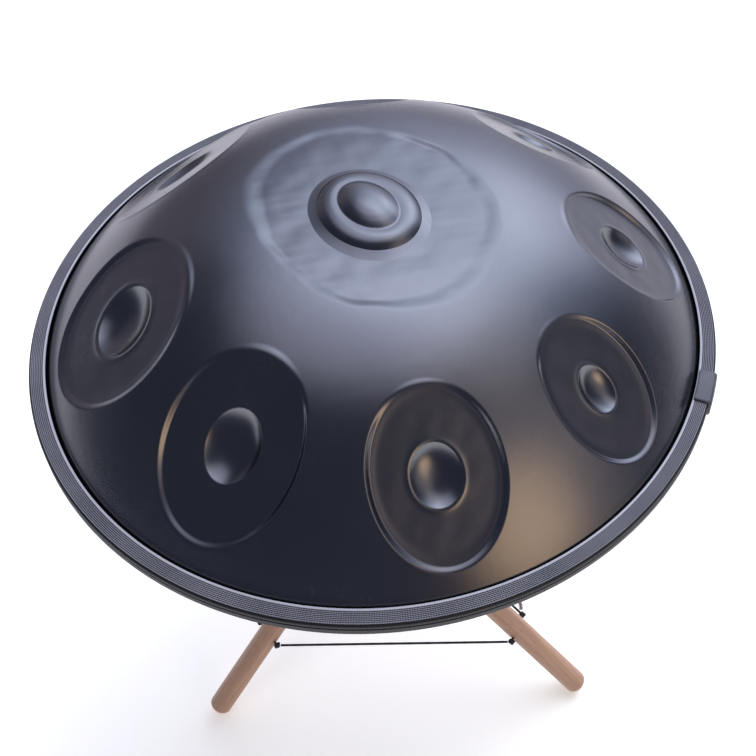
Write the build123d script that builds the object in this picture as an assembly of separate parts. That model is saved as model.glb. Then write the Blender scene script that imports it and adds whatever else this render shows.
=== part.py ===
from build123d import *
import os
from math import cos, pi, radians, sin, sqrt

# Handpan on a folding wooden tripod. Millimetres, +Z up.
# Origin: on the floor, under the pan's own axis. The player stands on the -Y side.

# ---------------------------------------------------------------- driving dimensions
# Pan
RIM_Z = 481.7  # height of the glued rim's middle plane above the floor
WALL = 1.2  # nitrided steel sheet
BOND = 0.6  # glue line between the two flanges
BOND_EDGE_INSET = 0.5  # the glue stops this far inside the flanges' edge
BOND_INNER_INSET = 1.5  # and this far outside the bowl
FLANGE_R = 265.0
DOME_BASE_R = 254.8  # where the top shell leaves its flange
# Crown of the top shell from the axis out: radius, height above the rim's middle plane
CROWN = [
    (0.0, 115.2),
    (45.0, 114.4),
    (75.0, 113.5),
    (90.0, 112.0),
    (105.0, 109.1),
    (120.0, 104.9),
    (135.0, 99.5),
    (150.0, 92.9),
    (170.0, 81.9),
    (180.0, 75.4),
    (190.0, 68.1),
    (200.0, 60.1),
    (210.0, 51.4),
    (225.0, 36.6),
    (240.0, 19.9),
]
# Two-tier ding: three points on each tier's arc, from the axis out, before it is made oval
DING_UPPER = [(0.0, 128.3), (14.0, 126.6), (23.2, 122.4)]
DING_LOWER = [(24.5, 121.2), (33.0, 120.0), (39.5, 116.8)]
DING_BASE_R = 41.5
DING_BASE_Z = 113.0  # its wall runs down to here, just under the crown
DING_LONG = 1.14  # the oval's length and width over its round profile
DING_WIDE = 0.91
DING_AZIMUTH = 122.0  # direction of the oval's length
GU_DEPTH = 107.0  # bottom shell, rim's middle plane to its lowest ring
GU_BASE_R = 254.8
PORT_R = 50.0  # sound port in the bottom shell
PORT_LIP_R = 7.0  # rounded lip that turns into the port's neck
NECK_HEIGHT = 24.0

# Tone fields: azimuth in degrees, radius of the centre, half length up the slope,
# half width across it, dimple half length, dimple half width
TONE_FIELDS = [
    (139.6, 203.0, 58.0, 66.0, 26.0, 30.0),
    (192.1, 193.1, 65.0, 60.5, 28.0, 27.5),
    (237.3, 192.6, 64.0, 47.9, 25.9, 20.3),
    (279.4, 198.8, 58.5, 43.2, 21.7, 17.6),
    (319.0, 202.9, 54.6, 39.9, 18.6, 13.6),
    (0.4, 199.3, 60.0, 44.8, 22.5, 18.5),
    (43.4, 203.0, 58.0, 51.0, 21.5, 20.0),
    (92.0, 200.0, 57.0, 50.0, 22.0, 19.0),
]
CROWN_CURVE_R = 258.0  # the crown's radius of curvature up the slope, at the tone fields
FIELD_STEP = 0.8  # a field's two ends lie this far under the crown
FIELD_SLOPE_RUN = 11.0  # how much wider the field's mouth is, 11 mm above its flat
FIELD_PROBE = 20.0  # the crown's slope at a field is measured this far to each side
FIELD_INNER_GROWTH = 0.4  # share of the wall by which the inner face's ovals are wider
DIMPLE_SHARE = 0.24  # a dimple's depth over its mean half width

# Rubber trim round the rim, with the sleeve that joins its two ends
TRIM_INNER_R = 256.3
TRIM_OUTER_R = 268.0
TRIM_HALF_HEIGHT = 6.1
TRIM_CORNER = 2.4
TRIM_SLOT_CLEARANCE = 0.1
CLIP_AZIMUTH = 337.0
CLIP_SPAN = 6.4  # degrees of the rim that the sleeve covers
CLIP_WALL = 1.9
CLIP_GAP = 0.15  # air between the sleeve and the trim
CLIP_CORNER = 3.2

# Tripod stand
LEG_R = 11.0
LEG_TILT = radians(43.6)  # from the vertical
CROSS_Z = 226.7  # height of the crossing
CROSS_XY = (-14.4, 2.7)  # the pan centres itself on the three tips, beside the crossing
BACK_LEG_AZIMUTH = radians(272.8)  # where the back leg's top points
ROD_R = 3.0  # M6 bolt, eye bolt
ROD_CLEARANCE = 0.06  # running fit in the legs' holes
LEG_GAP = 0.3  # between the eye and each front leg
CROSSED_LEG_GAP = 1.6  # between the back leg and the front legs where they cross
FOOT_EDGE = 5.4  # rounding of the foot
FOOT_SINK = 12.0  # height above the floor of the point one leg radius up from the end
TIP_R = 13.5  # rubber tip cap
TIP_LENGTH = 30.0
SPIGOT_R = 8.0
SPIGOT_LENGTH = 18.0
SOCKET_CLEARANCE = 0.05
SOCKET_SPARE = 0.5  # depth left over past the spigot's end
TIP_GAP = 0.3  # air between a tip and the bottom shell at rest
CORD_Z = 77.2  # height of the spread cord's holes
CORD_R = 1.2
CORD_HOLE_R = 1.6
KNOT_R = 3.6
KNOT_REACH = LEG_R + KNOT_R + 1.0  # leg's centre line to a knot's centre
FERRULE_R = 2.2
FERRULE_LENGTH = 9.0
FERRULE_GAP = 0.8

# M6 hardware
HEX_AF = 10.0
HEAD_THICK = 4.0
NUT_THICK = 6.0
WASHER_R = 9.0
WASHER_THICK = 1.6
SEAT_GAP = 0.3
THREAD_GAP = 0.02
THREAD_END = 3.0  # thread that stands out past a nut
WASHER_CLEARANCE = 0.2
EYE_CLEARANCE = 0.15  # bolt in the eye
SLEEVE_R = 5.0
SLEEVE_START = 16.0


# ---------------------------------------------------------------- helpers
def save(shape, name):
    export_step(shape, os.path.join("parts", name + ".step"))


def rod(start, direction, radius, length):
    plane = Plane(origin=start, z_dir=direction)
    return extrude(plane * Circle(radius), amount=length)


def tube(start, direction, outer, inner, length):
    return rod(start, direction, outer, length) - rod(start, direction, inner, length)


def hexagon(start, direction, across_flats, length):
    plane = Plane(origin=start, z_dir=direction)
    return extrude(plane * RegularPolygon(across_flats / sqrt(3), 6), amount=length)


def inset_points(points, distance):
    """Points of a profile, listed from the axis out, moved inwards by distance."""
    moved = []
    for i, (r, z) in enumerate(points):
        before = points[max(i - 1, 0)]
        after = points[min(i + 1, len(points) - 1)]
        run = after[0] - before[0]
        rise = after[1] - before[1]
        size = sqrt(run * run + rise * rise)
        shift_r = 0.0 if i == 0 and r == 0 else distance * rise / size
        moved.append((r + shift_r, z - distance * run / size))
    return moved


def crown_height(radius):
    """Height of the plain crown at a radius, between its listed points."""
    table = CROWN + [(DOME_BASE_R, BOND / 2 + WALL)]
    for (r0, z0), (r1, z1) in zip(table, table[1:]):
        if r0 <= radius <= r1:
            return z0 + (z1 - z0) * (radius - r0) / (r1 - r0)
    raise ValueError("radius is off the crown")


# ---------------------------------------------------------------- top shell
def crown_solid(inset):
    """Solid under the plain crown, its surface moved inwards by inset."""
    base_z = BOND / 2
    base_r = DOME_BASE_R - inset
    outer = inset_points(CROWN + [(DOME_BASE_R, base_z + WALL)], inset)
    outer[-1] = (base_r, base_z + WALL)
    with BuildSketch(Plane.XZ) as profile:
        with BuildLine():
            Spline(*outer)
            Polyline(outer[-1], (base_r, base_z), (0, base_z), outer[0])
        make_face()
    return revolve(profile.sketch, Axis.Z)


def ding_solid(inset):
    """Oval two-tier ding that stands on the crown, its surface moved inwards by inset."""
    upper = inset_points(DING_UPPER, inset)
    lower = inset_points(DING_LOWER, inset)
    foot = (DING_BASE_R - inset, DING_BASE_Z - inset)
    with BuildSketch(Plane.XZ) as profile:
        with BuildLine():
            ThreePointArc(*upper)
            Line(upper[-1], lower[0])
            ThreePointArc(*lower)
            Polyline(lower[-1], foot, (0, foot[1]), upper[0])
        make_face()
    oval = scale(revolve(profile.sketch, Axis.Z), by=(DING_LONG, DING_WIDE, 1))
    return Rot(0, 0, DING_AZIMUTH) * oval


def field_plane(azimuth, radius, depth):
    """Plane of a tone field: x across the slope, y up the slope, z out of the shell."""
    drop = crown_height(radius - FIELD_PROBE) - crown_height(radius + FIELD_PROBE)
    slope = drop / (2 * FIELD_PROBE)
    a = radians(azimuth)
    out = Vector(cos(a) * slope, sin(a) * slope, 1).normalized()
    across = Vector(-sin(a), cos(a), 0)
    origin = Vector(radius * cos(a), radius * sin(a), crown_height(radius)) - out * depth
    return Plane(origin=origin, x_dir=across, z_dir=out)


def field_cutter(field, inset):
    """Flat-bottomed oval cutter of one tone field, and the tool of its dimple."""
    azimuth, radius, along, across, dimple_along, dimple_across = field
    depth = along**2 / (2 * CROWN_CURVE_R) + FIELD_STEP
    flat = field_plane(azimuth, radius, depth + inset)
    mouth = flat.offset(FIELD_SLOPE_RUN + inset)
    grow = inset * FIELD_INNER_GROWTH
    oval = loft(
        [
            flat * Ellipse(across + grow, along + grow),
            mouth * Ellipse(across + FIELD_SLOPE_RUN + grow, along + FIELD_SLOPE_RUN + grow),
        ],
        ruled=True,
    )
    mean = sqrt(dimple_along * dimple_across)
    dimple_depth = mean * DIMPLE_SHARE
    ball_r = (mean**2 + dimple_depth**2) / (2 * dimple_depth)
    ball = scale(Sphere(ball_r + inset), by=(dimple_across / mean, dimple_along / mean, 1))
    centre = field_plane(azimuth, radius, depth + dimple_depth - ball_r)
    return oval, centre.location * ball


def crown_with_fields(inset):
    solid = crown_solid(inset) + ding_solid(inset)
    for field in TONE_FIELDS:
        oval, ball = field_cutter(field, inset)
        solid = solid - oval
        solid = solid - ball
    return solid


def make_ding_shell():
    flange_bottom = BOND / 2
    outer = crown_with_fields(0.0)
    hollow = crown_with_fields(WALL)
    flange = tube((0, 0, flange_bottom), (0, 0, 1), FLANGE_R, DOME_BASE_R - WALL, WALL)
    return Pos(0, 0, RIM_Z) * ((outer - hollow) + flange)


# ---------------------------------------------------------------- bottom shell
def gu_radius(inset=0.0):
    return (GU_BASE_R**2 + GU_DEPTH**2) / (2 * GU_DEPTH) - inset


def gu_centre_z():
    return RIM_Z - GU_DEPTH + gu_radius()


def gu_profile(inset):
    """Right half of the shell's surface: flange, bowl, rolled lip and port neck."""
    ball_r = gu_radius(inset)
    centre = gu_radius() - GU_DEPTH
    top = -BOND / 2 - WALL
    edge_r = sqrt(ball_r**2 - (centre - top) ** 2)
    lip_r = PORT_LIP_R - inset
    lip_x = PORT_R + PORT_LIP_R
    lip_reach = gu_radius() - PORT_LIP_R
    lip_z = centre - sqrt(lip_reach**2 - lip_x**2)
    touch = Vector(lip_x, lip_z - centre).normalized()
    touch_point = (lip_x + touch.X * lip_r, lip_z + touch.Y * lip_r)
    middle = (edge_r + touch_point[0]) / 2
    middle_point = (middle, centre - sqrt(ball_r**2 - middle**2))
    lip_middle = (lip_x - lip_r * cos(pi / 4), lip_z - lip_r * sin(pi / 4))
    lip_end = (lip_x - lip_r, lip_z)
    return (edge_r, top), middle_point, touch_point, lip_middle, lip_end


def make_gu_shell():
    edge, middle, touch, lip, neck = gu_profile(0.0)
    edge_in, middle_in, touch_in, lip_in, neck_in = gu_profile(WALL)
    neck_top = -GU_DEPTH + NECK_HEIGHT
    flange_top = -BOND / 2
    with BuildSketch(Plane.XZ) as profile:
        with BuildLine():
            Polyline((edge_in[0], flange_top), (FLANGE_R, flange_top), (FLANGE_R, edge[1]), edge)
            ThreePointArc(edge, middle, touch)
            ThreePointArc(touch, lip, neck)
            Polyline(neck, (neck[0], neck_top), (neck_in[0], neck_top), neck_in)
            ThreePointArc(neck_in, lip_in, touch_in)
            ThreePointArc(touch_in, middle_in, edge_in)
            Line(edge_in, (edge_in[0], flange_top))
        make_face()
    return Pos(0, 0, RIM_Z) * revolve(profile.sketch, Axis.Z)


# ---------------------------------------------------------------- rim
def make_rim_bond():
    ring = tube((0, 0, -BOND / 2), (0, 0, 1), FLANGE_R - BOND_EDGE_INSET,
                DOME_BASE_R + BOND_INNER_INSET, BOND)
    return Pos(0, 0, RIM_Z) * ring


def make_rim_trim():
    height = 2 * TRIM_HALF_HEIGHT
    slot_half = BOND / 2 + WALL + TRIM_SLOT_CLEARANCE
    ring = tube((0, 0, -TRIM_HALF_HEIGHT), (0, 0, 1), TRIM_OUTER_R, TRIM_INNER_R, height)
    circles = ring.edges().filter_by(GeomType.CIRCLE)
    outer_edges = [edge for edge in circles if edge.radius > FLANGE_R]
    ring = fillet(outer_edges, TRIM_CORNER)
    slot = tube((0, 0, -slot_half), (0, 0, 1), FLANGE_R + TRIM_SLOT_CLEARANCE,
                TRIM_INNER_R - 1, 2 * slot_half)
    return Pos(0, 0, RIM_Z) * (ring - slot)


def make_trim_clip():
    """Short sleeve over the trim where its two ends meet."""
    half = TRIM_HALF_HEIGHT + CLIP_GAP
    outer_r = TRIM_OUTER_R + CLIP_GAP
    width = outer_r - TRIM_INNER_R
    open_width = width + 2  # cuts right through the inner side
    with BuildSketch(Plane.XZ) as profile:
        with Locations((outer_r - width / 2 + CLIP_WALL / 2, 0)):
            RectangleRounded(width + CLIP_WALL, 2 * (half + CLIP_WALL), CLIP_CORNER)
        with Locations((outer_r - open_width / 2, 0)):
            Rectangle(open_width, 2 * half, mode=Mode.SUBTRACT)
    sleeve = revolve(profile.sketch, Axis.Z, revolution_arc=CLIP_SPAN)
    return Pos(0, 0, RIM_Z) * (Rot(0, 0, CLIP_AZIMUTH - CLIP_SPAN / 2) * sleeve)


# ---------------------------------------------------------------- tripod
UP = Vector(0, 0, 1)
TO_BACK_TOP = Vector(cos(BACK_LEG_AZIMUTH), sin(BACK_LEG_AZIMUTH), 0)
SHANK_AXIS = Vector(sin(BACK_LEG_AZIMUTH), -cos(BACK_LEG_AZIMUTH), 0)
CROSSING = Vector(CROSS_XY[0], CROSS_XY[1], CROSS_Z)
S = sin(LEG_TILT)
C = cos(LEG_TILT)
BOLT_AXIS = (TO_BACK_TOP * C + UP * (S / 2)).normalized()
RIGHT_DIR = TO_BACK_TOP * (-S / 2) + SHANK_AXIS * (S * sqrt(3) / 2) + UP * C
LEFT_DIR = TO_BACK_TOP * (-S / 2) - SHANK_AXIS * (S * sqrt(3) / 2) + UP * C
BACK_DIR = TO_BACK_TOP * S + UP * C
BOLT_OFFSET = LEG_R + ROD_R + LEG_GAP
CROSS_NORMAL = RIGHT_DIR.cross(BACK_DIR).normalized()
SHANK_OFFSET = (
    2 * LEG_R + CROSSED_LEG_GAP + abs(BOLT_AXIS.dot(CROSS_NORMAL)) * BOLT_OFFSET
) / abs(SHANK_AXIS.dot(CROSS_NORMAL))

# name: point on the leg's centre line at its pivot, direction of its top, pivot axis
LEGS = {
    "right": (CROSSING + BOLT_AXIS * BOLT_OFFSET, RIGHT_DIR, BOLT_AXIS),
    "left": (CROSSING - BOLT_AXIS * BOLT_OFFSET, LEFT_DIR, BOLT_AXIS),
    "back": (CROSSING + SHANK_AXIS * SHANK_OFFSET, BACK_DIR, SHANK_AXIS),
}


def point_at_height(leg, height):
    pivot, direction, _ = LEGS[leg]
    return pivot + direction * ((height - pivot.Z) / direction.Z)


def tip_centre(leg):
    """Where the tip's ball stops just short of the bottom shell."""
    pivot, direction, _ = LEGS[leg]
    away = pivot - Vector(0, 0, gu_centre_z())
    reach = gu_radius() + TIP_R + TIP_GAP
    half_b = away.dot(direction)
    travel = -half_b - sqrt(half_b**2 - (away.dot(away) - reach**2))
    return pivot + direction * travel


def cord_point(leg):
    return point_at_height(leg, CORD_Z)


def cord_directions(leg):
    """Unit vectors from this leg's cord hole to the other two legs' holes."""
    here = cord_point(leg)
    return [(cord_point(other) - here).normalized() for other in LEGS if other != leg]


def cord_hole_axis(leg):
    first, second = cord_directions(leg)
    return (first - second).normalized()


def make_leg(leg):
    pivot, direction, axis = LEGS[leg]
    foot = point_at_height(leg, FOOT_SINK)
    shoulder = tip_centre(leg) - direction * (TIP_LENGTH - TIP_R)
    length = (shoulder - foot).length + LEG_R
    dowel = rod(foot - direction * LEG_R, direction, LEG_R, length)
    dowel = fillet(dowel.faces().sort_by(Axis(tuple(foot), tuple(direction)))[0].edges(),
                   FOOT_EDGE)
    dowel += rod(shoulder, direction, SPIGOT_R, SPIGOT_LENGTH)
    hole_length = 4 * LEG_R
    bore = rod(pivot - axis * (hole_length / 2), axis, ROD_R + ROD_CLEARANCE, hole_length)
    cord_axis = cord_hole_axis(leg)
    cord_hole = rod(cord_point(leg) - cord_axis * (hole_length / 2), cord_axis,
                    CORD_HOLE_R, hole_length)
    standing = split(dowel, bisect_by=Plane.XY, keep=Keep.TOP)
    return standing - bore - cord_hole


def make_tip(leg):
    _, direction, _ = LEGS[leg]
    centre = tip_centre(leg)
    mouth = centre - direction * (TIP_LENGTH - TIP_R)
    cap = rod(mouth, direction, TIP_R, TIP_LENGTH - TIP_R)
    cap += Pos(*tuple(centre)) * Sphere(TIP_R)
    socket = rod(mouth - direction, direction, SPIGOT_R + SOCKET_CLEARANCE,
                 1 + SPIGOT_LENGTH + SOCKET_SPARE)
    return cap - socket


def make_knots(leg):
    """A stopper knot on each side of the leg and the cord through its hole, turned as one."""
    end = KNOT_REACH + KNOT_R
    neck = KNOT_REACH - sqrt(KNOT_R**2 - CORD_R**2)
    with BuildSketch(Plane.XZ) as profile:
        with BuildLine():
            Line((0, -end), (0, end))
            ThreePointArc((0, end), (KNOT_R, KNOT_REACH), (CORD_R, neck))
            Line((CORD_R, neck), (CORD_R, -neck))
            ThreePointArc((CORD_R, -neck), (KNOT_R, -KNOT_REACH), (0, -end))
        make_face()
    hole = Plane(origin=cord_point(leg), z_dir=cord_hole_axis(leg))
    return hole.location * revolve(profile.sketch, Axis.Z)


def knot_centre(leg, other):
    """Centre of the knot on this leg that faces the other leg."""
    here = cord_point(leg)
    axis = cord_hole_axis(leg)
    side = 1 if axis.dot(cord_point(other) - here) > 0 else -1
    return here + axis * (side * KNOT_REACH)


def make_cord(leg, other):
    """Taut span between two knots: it meets its own leg's knot and stops short of the other."""
    start = knot_centre(leg, other)
    end = knot_centre(other, leg)
    along = (end - start).normalized()
    length = (end - start).length - 2 * KNOT_R - SEAT_GAP
    return rod(start + along * KNOT_R, along, CORD_R, length), length


def make_ferrule():
    """Crimp on the cord's tail, on the outer side of the right leg."""
    here = cord_point("right")
    out = (knot_centre("right", "back") - here).normalized()
    start = here + out * (LEG_R + 2 * KNOT_R + FERRULE_GAP)
    lift = (RIGHT_DIR - out * RIGHT_DIR.dot(out)).normalized()
    return rod(start + lift * KNOT_R, (out + lift).normalized(), FERRULE_R,
               FERRULE_LENGTH)


# ---------------------------------------------------------------- pivots
def make_pivot_bolt():
    grip = BOLT_OFFSET + LEG_R + SEAT_GAP + WASHER_THICK
    start = CROSSING + BOLT_AXIS * grip
    shank = rod(start, BOLT_AXIS * -1, ROD_R, 2 * grip + NUT_THICK + THREAD_END)
    return shank + hexagon(start, BOLT_AXIS, HEX_AF, HEAD_THICK)


def make_pivot_washers():
    seat = BOLT_OFFSET + LEG_R + SEAT_GAP
    washers = []
    for side in (-1, 1):
        direction = BOLT_AXIS * side
        start = CROSSING + direction * seat
        washers.append(tube(start, direction, WASHER_R, ROD_R + WASHER_CLEARANCE,
                            WASHER_THICK))
    return Compound(children=washers)


def make_nut(origin, direction):
    nut = hexagon(origin, direction, HEX_AF, NUT_THICK)
    return nut - rod(origin - direction, direction, ROD_R + THREAD_GAP, NUT_THICK + 2)


def make_pivot_nut():
    seat = BOLT_OFFSET + LEG_R + SEAT_GAP + WASHER_THICK
    return make_nut(CROSSING - BOLT_AXIS * seat, BOLT_AXIS * -1)


def make_eye_bolt():
    ring_r = 2 * ROD_R + EYE_CLEARANCE
    plane = Plane(origin=CROSSING, z_dir=BOLT_AXIS, x_dir=SHANK_AXIS)
    eye = plane.location * Torus(ring_r, ROD_R)
    reach = SHANK_OFFSET + LEG_R + SEAT_GAP + WASHER_THICK + NUT_THICK + THREAD_END
    return eye + rod(CROSSING + SHANK_AXIS * ring_r, SHANK_AXIS, ROD_R, reach - ring_r)


def make_eye_sleeve():
    length = SHANK_OFFSET - LEG_R - SEAT_GAP - SLEEVE_START
    return tube(CROSSING + SHANK_AXIS * SLEEVE_START, SHANK_AXIS, SLEEVE_R,
                ROD_R + THREAD_GAP, length)


def make_eye_washer():
    seat = SHANK_OFFSET + LEG_R + SEAT_GAP
    return tube(CROSSING + SHANK_AXIS * seat, SHANK_AXIS, WASHER_R,
                ROD_R + WASHER_CLEARANCE, WASHER_THICK)


def make_eye_nut():
    seat = SHANK_OFFSET + LEG_R + SEAT_GAP + WASHER_THICK
    return make_nut(CROSSING + SHANK_AXIS * seat, SHANK_AXIS)


# ---------------------------------------------------------------- write the parts
os.makedirs("parts", exist_ok=True)

save(make_ding_shell(), "ding_shell")
save(make_gu_shell(), "gu_shell")
save(make_rim_bond(), "rim_bond")
save(make_rim_trim(), "rim_trim")
save(make_trim_clip(), "trim_clip")

for leg_name in LEGS:
    save(make_leg(leg_name), "leg_" + leg_name)
    save(make_tip(leg_name), "tip_cap_" + leg_name)
    save(make_knots(leg_name), "cord_knots_" + leg_name)

for cord_name, owner, far in (
    ("front", "left", "right"),
    ("right", "right", "back"),
    ("left", "back", "left"),
):
    span, span_length = make_cord(owner, far)
    save(span, "cord_" + cord_name)
    print("cord", cord_name, round(span_length, 1), "mm")

save(make_ferrule(), "cord_ferrule")
save(make_pivot_bolt(), "pivot_bolt")
save(make_pivot_washers(), "pivot_washers")
save(make_pivot_nut(), "pivot_nut")
save(make_eye_bolt(), "eye_bolt")
save(make_eye_sleeve(), "eye_sleeve")
save(make_eye_washer(), "eye_washer")
save(make_eye_nut(), "eye_nut")
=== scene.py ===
import math
import bmesh
import bpy
import numpy as np
from mathutils import Matrix, Vector


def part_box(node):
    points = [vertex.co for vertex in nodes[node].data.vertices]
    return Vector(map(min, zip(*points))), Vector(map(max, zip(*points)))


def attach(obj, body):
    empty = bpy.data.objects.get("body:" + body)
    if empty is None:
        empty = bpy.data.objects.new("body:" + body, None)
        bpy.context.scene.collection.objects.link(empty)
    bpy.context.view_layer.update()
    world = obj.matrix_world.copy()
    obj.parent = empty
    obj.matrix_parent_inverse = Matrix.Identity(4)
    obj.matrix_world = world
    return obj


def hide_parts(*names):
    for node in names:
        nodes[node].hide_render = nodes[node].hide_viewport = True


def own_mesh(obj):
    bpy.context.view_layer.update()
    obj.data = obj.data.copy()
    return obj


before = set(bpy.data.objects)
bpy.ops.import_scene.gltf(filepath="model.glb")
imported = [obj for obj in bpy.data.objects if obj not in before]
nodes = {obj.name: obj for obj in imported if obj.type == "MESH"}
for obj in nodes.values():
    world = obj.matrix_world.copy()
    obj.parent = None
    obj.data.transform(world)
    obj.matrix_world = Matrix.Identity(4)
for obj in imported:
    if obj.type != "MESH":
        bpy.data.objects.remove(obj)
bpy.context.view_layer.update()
scene = bpy.context.scene

# ---------------------------------------------------------------- places from the frame
trim_low, trim_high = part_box("rim_trim")
RIM_Z = (trim_low.z + trim_high.z) / 2
TRIM_R = (trim_high.x - trim_low.x) / 2
TRIM_HALF = (trim_high.z - trim_low.z) / 2
flange_low, flange_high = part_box("gu_shell")
FLANGE_R = (flange_high.x - flange_low.x) / 2

# ---------------------------------------------------------------- sizes of the pan, in metres
WALL = 0.0012  # steel sheet
HALF_BOND = 0.0003  # half of the glue line between the flanges
FLANGE_ROUND = 0.0003  # the flange's edge is rounded off by this
DOME_BASE_R = 0.2562  # where the shells leave their flanges
TRIM_INNER_R = 0.2563
# Crown of the top shell: radius and height above the rim's middle plane
CROWN = [
    (0.0000, 0.1152), (0.0450, 0.1144), (0.0900, 0.1120), (0.1200, 0.1049), (0.1500, 0.0929),
    (0.1900, 0.0681), (0.2250, 0.0366), (0.2480, 0.0116), (0.2562, 0.0015),
]
CROWN_MIDDLE = 0.1144  # the crown's height round the ding's foot
# Two-tier ding: radius and height
DING = [
    (0.0000, 0.1283), (0.0080, 0.1277), (0.0140, 0.1262), (0.0185, 0.1242), (0.0215, 0.1224),
    (0.0232, 0.1213), (0.0241, 0.1211), (0.0250, 0.1213), (0.0280, 0.1213), (0.0315, 0.1206),
    (0.0348, 0.1191), (0.0376, 0.1168), (0.0398, 0.1144), (0.0412, 0.1129), (0.0422, 0.1122),
    (0.0450, 0.1122),
]
# The crown's rings are oval round the ding: ring radius, centre x, centre y, stretch, squeeze
OVAL_AZIMUTH = math.radians(122)
OVALS = [
    (0.0000, 0.0000, 0.0000, 1.190, 0.840), (0.0250, 0.0000, 0.0000, 1.185, 0.843),
    (0.0360, 0.0000, 0.0000, 1.135, 0.915), (0.0450, 0.0000, 0.0000, 1.130, 0.920),
    (0.0898, 0.0022, 0.0059, 1.118, 0.895), (0.1350, 0.0000, 0.0000, 1.000, 1.000),
]
PLATEAU_R = 0.0898  # ring where the ding's own tone field ends
PLATEAU_DEPTH = 0.0022
PLATEAU_EDGE_WAVES = [(0.0016, 3, 0.6), (0.0010, 7, 2.1), (0.0005, 17, 0.0)]
PLATEAU_EDGE_WIDTH = 0.0066  # half width of its sloped edge
PLATEAU_WIDTH_WAVES = [(0.0022, 2, 2.6), (0.0010, 5, 0.0)]
HAMMER_MARKS = [(0.00026, 0.036, 5), (0.00007, 0.013, 6)]  # height, pitch, seed
SHEET_WAVES = (0.00016, 0.09, 7)  # the same, for the slight unevenness of the whole crown
SHEET_WAVES_END = (0.25, 0.235)  # radii between which it fades in from the rim
DING_WALL = (0.030, 0.0445)  # rings between which the ding starts to follow the crown
DING_FOOT = (0.043, 0.050)  # rings between which the crown's own unevenness fades in


# ---------------------------------------------------------------- camera
def make_camera():
    distance, elevation = 0.9479, math.radians(48.90)
    pan, tilt, roll = 4.37, 3.43, -4.37
    lens_mm, shift_x, shift_y = 56.205, -0.1097, -0.1865
    target = Vector((0, 0, RIM_Z))
    back = Vector((0, -math.cos(elevation), math.sin(elevation)))
    forward = -back
    right = forward.cross(Vector((0, 0, 1))).normalized()
    up = right.cross(forward)
    forward = (forward + right * math.radians(pan) + up * math.radians(tilt)).normalized()
    right = forward.cross(up).normalized()
    up = right.cross(forward)
    r = math.radians(roll)
    turned_right = right * math.cos(r) + up * math.sin(r)
    turned_up = up * math.cos(r) - right * math.sin(r)
    data = bpy.data.cameras.new("camera")
    data.sensor_width = 36.0
    data.lens = lens_mm
    data.shift_x = shift_x
    data.shift_y = shift_y
    data.clip_start = 0.05
    data.clip_end = 50.0
    camera = bpy.data.objects.new("camera", data)
    scene.collection.objects.link(camera)
    basis = Matrix((turned_right, turned_up, -forward)).transposed()
    camera.matrix_world = Matrix.Translation(target + back * distance) @ basis.to_4x4()
    scene.camera = camera


make_camera()


# ---------------------------------------------------------------- mesh helpers
def add_object(name, verts, faces, material=None, smooth=True, sharp_degrees=None):
    mesh = bpy.data.meshes.new(name)
    mesh.from_pydata([tuple(v) for v in verts], [], [tuple(f) for f in faces])
    mesh.validate()
    shape = bmesh.new()
    shape.from_mesh(mesh)
    bmesh.ops.recalc_face_normals(shape, faces=shape.faces)
    shape.to_mesh(mesh)
    shape.free()
    mesh.update()
    if smooth:
        mesh.shade_smooth()
    if sharp_degrees is not None:
        mesh.set_sharp_from_angle(angle=math.radians(sharp_degrees))
    obj = bpy.data.objects.new(name, mesh)
    scene.collection.objects.link(obj)
    if material is not None:
        mesh.materials.append(material)
    return obj


def bridge(rows):
    """Quads between each closed ring of vertex numbers and the next."""
    faces = []
    for low, high in zip(rows, rows[1:]):
        for k in range(len(low)):
            j = (k + 1) % len(low)
            faces.append((low[k], low[j], high[j], high[k]))
    return faces


def lathe_data(profile, steps, wobble=None, closed=False):
    """Turn (radius, height) points about Z. Points on the axis become one vertex each."""
    verts, rows = [], []
    for i, (r, z) in enumerate(profile):
        if r < 1e-7:
            rows.append([len(verts)] * steps)
            verts.append((0.0, 0.0, z))
            continue
        row = []
        for k in range(steps):
            a = 2 * math.pi * k / steps
            dr, dz = wobble(i, a) if wobble else (0.0, 0.0)
            row.append(len(verts))
            verts.append(((r + dr) * math.cos(a), (r + dr) * math.sin(a), z + dz))
        rows.append(row)
    faces = []
    for corner in bridge(rows + rows[:1] if closed else rows):
        face = [v for n, v in enumerate(corner) if v not in corner[:n]]
        if len(face) > 2:
            faces.append(face)
    return verts, faces


def place(obj, origin, z_dir, x_hint=Vector((0, 0, 1))):
    z = Vector(z_dir).normalized()
    x = (Vector(x_hint) - z * z.dot(Vector(x_hint))).normalized()
    y = z.cross(x)
    basis = Matrix((x, y, z)).transposed().to_4x4()
    obj.matrix_world = Matrix.Translation(Vector(origin)) @ basis
    return obj


def arc(centre, radius, start, end, count):
    """Points on an arc in the (radius, height) plane, angles in degrees."""
    points = []
    for k in range(count + 1):
        a = math.radians(start + (end - start) * k / count)
        points.append((centre[0] + radius * math.cos(a), centre[1] + radius * math.sin(a)))
    return points


def finish_piece(obj, body, slot_name, *replaced):
    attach(obj, body)
    if replaced:
        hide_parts(*replaced)
    return obj


# ---------------------------------------------------------------- material helpers
def new_node(tree, kind, inputs=None, **settings):
    """A node with its settings and inputs. An input is a number, a colour or another node's output."""
    made = tree.nodes.new(kind)
    for key, value in settings.items():
        setattr(made, key, value)
    for key, value in (inputs or {}).items():
        socket = made.inputs[key]
        if isinstance(value, bpy.types.NodeSocket):
            tree.links.new(value, socket)
        else:
            socket.default_value = value
    return made


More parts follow.
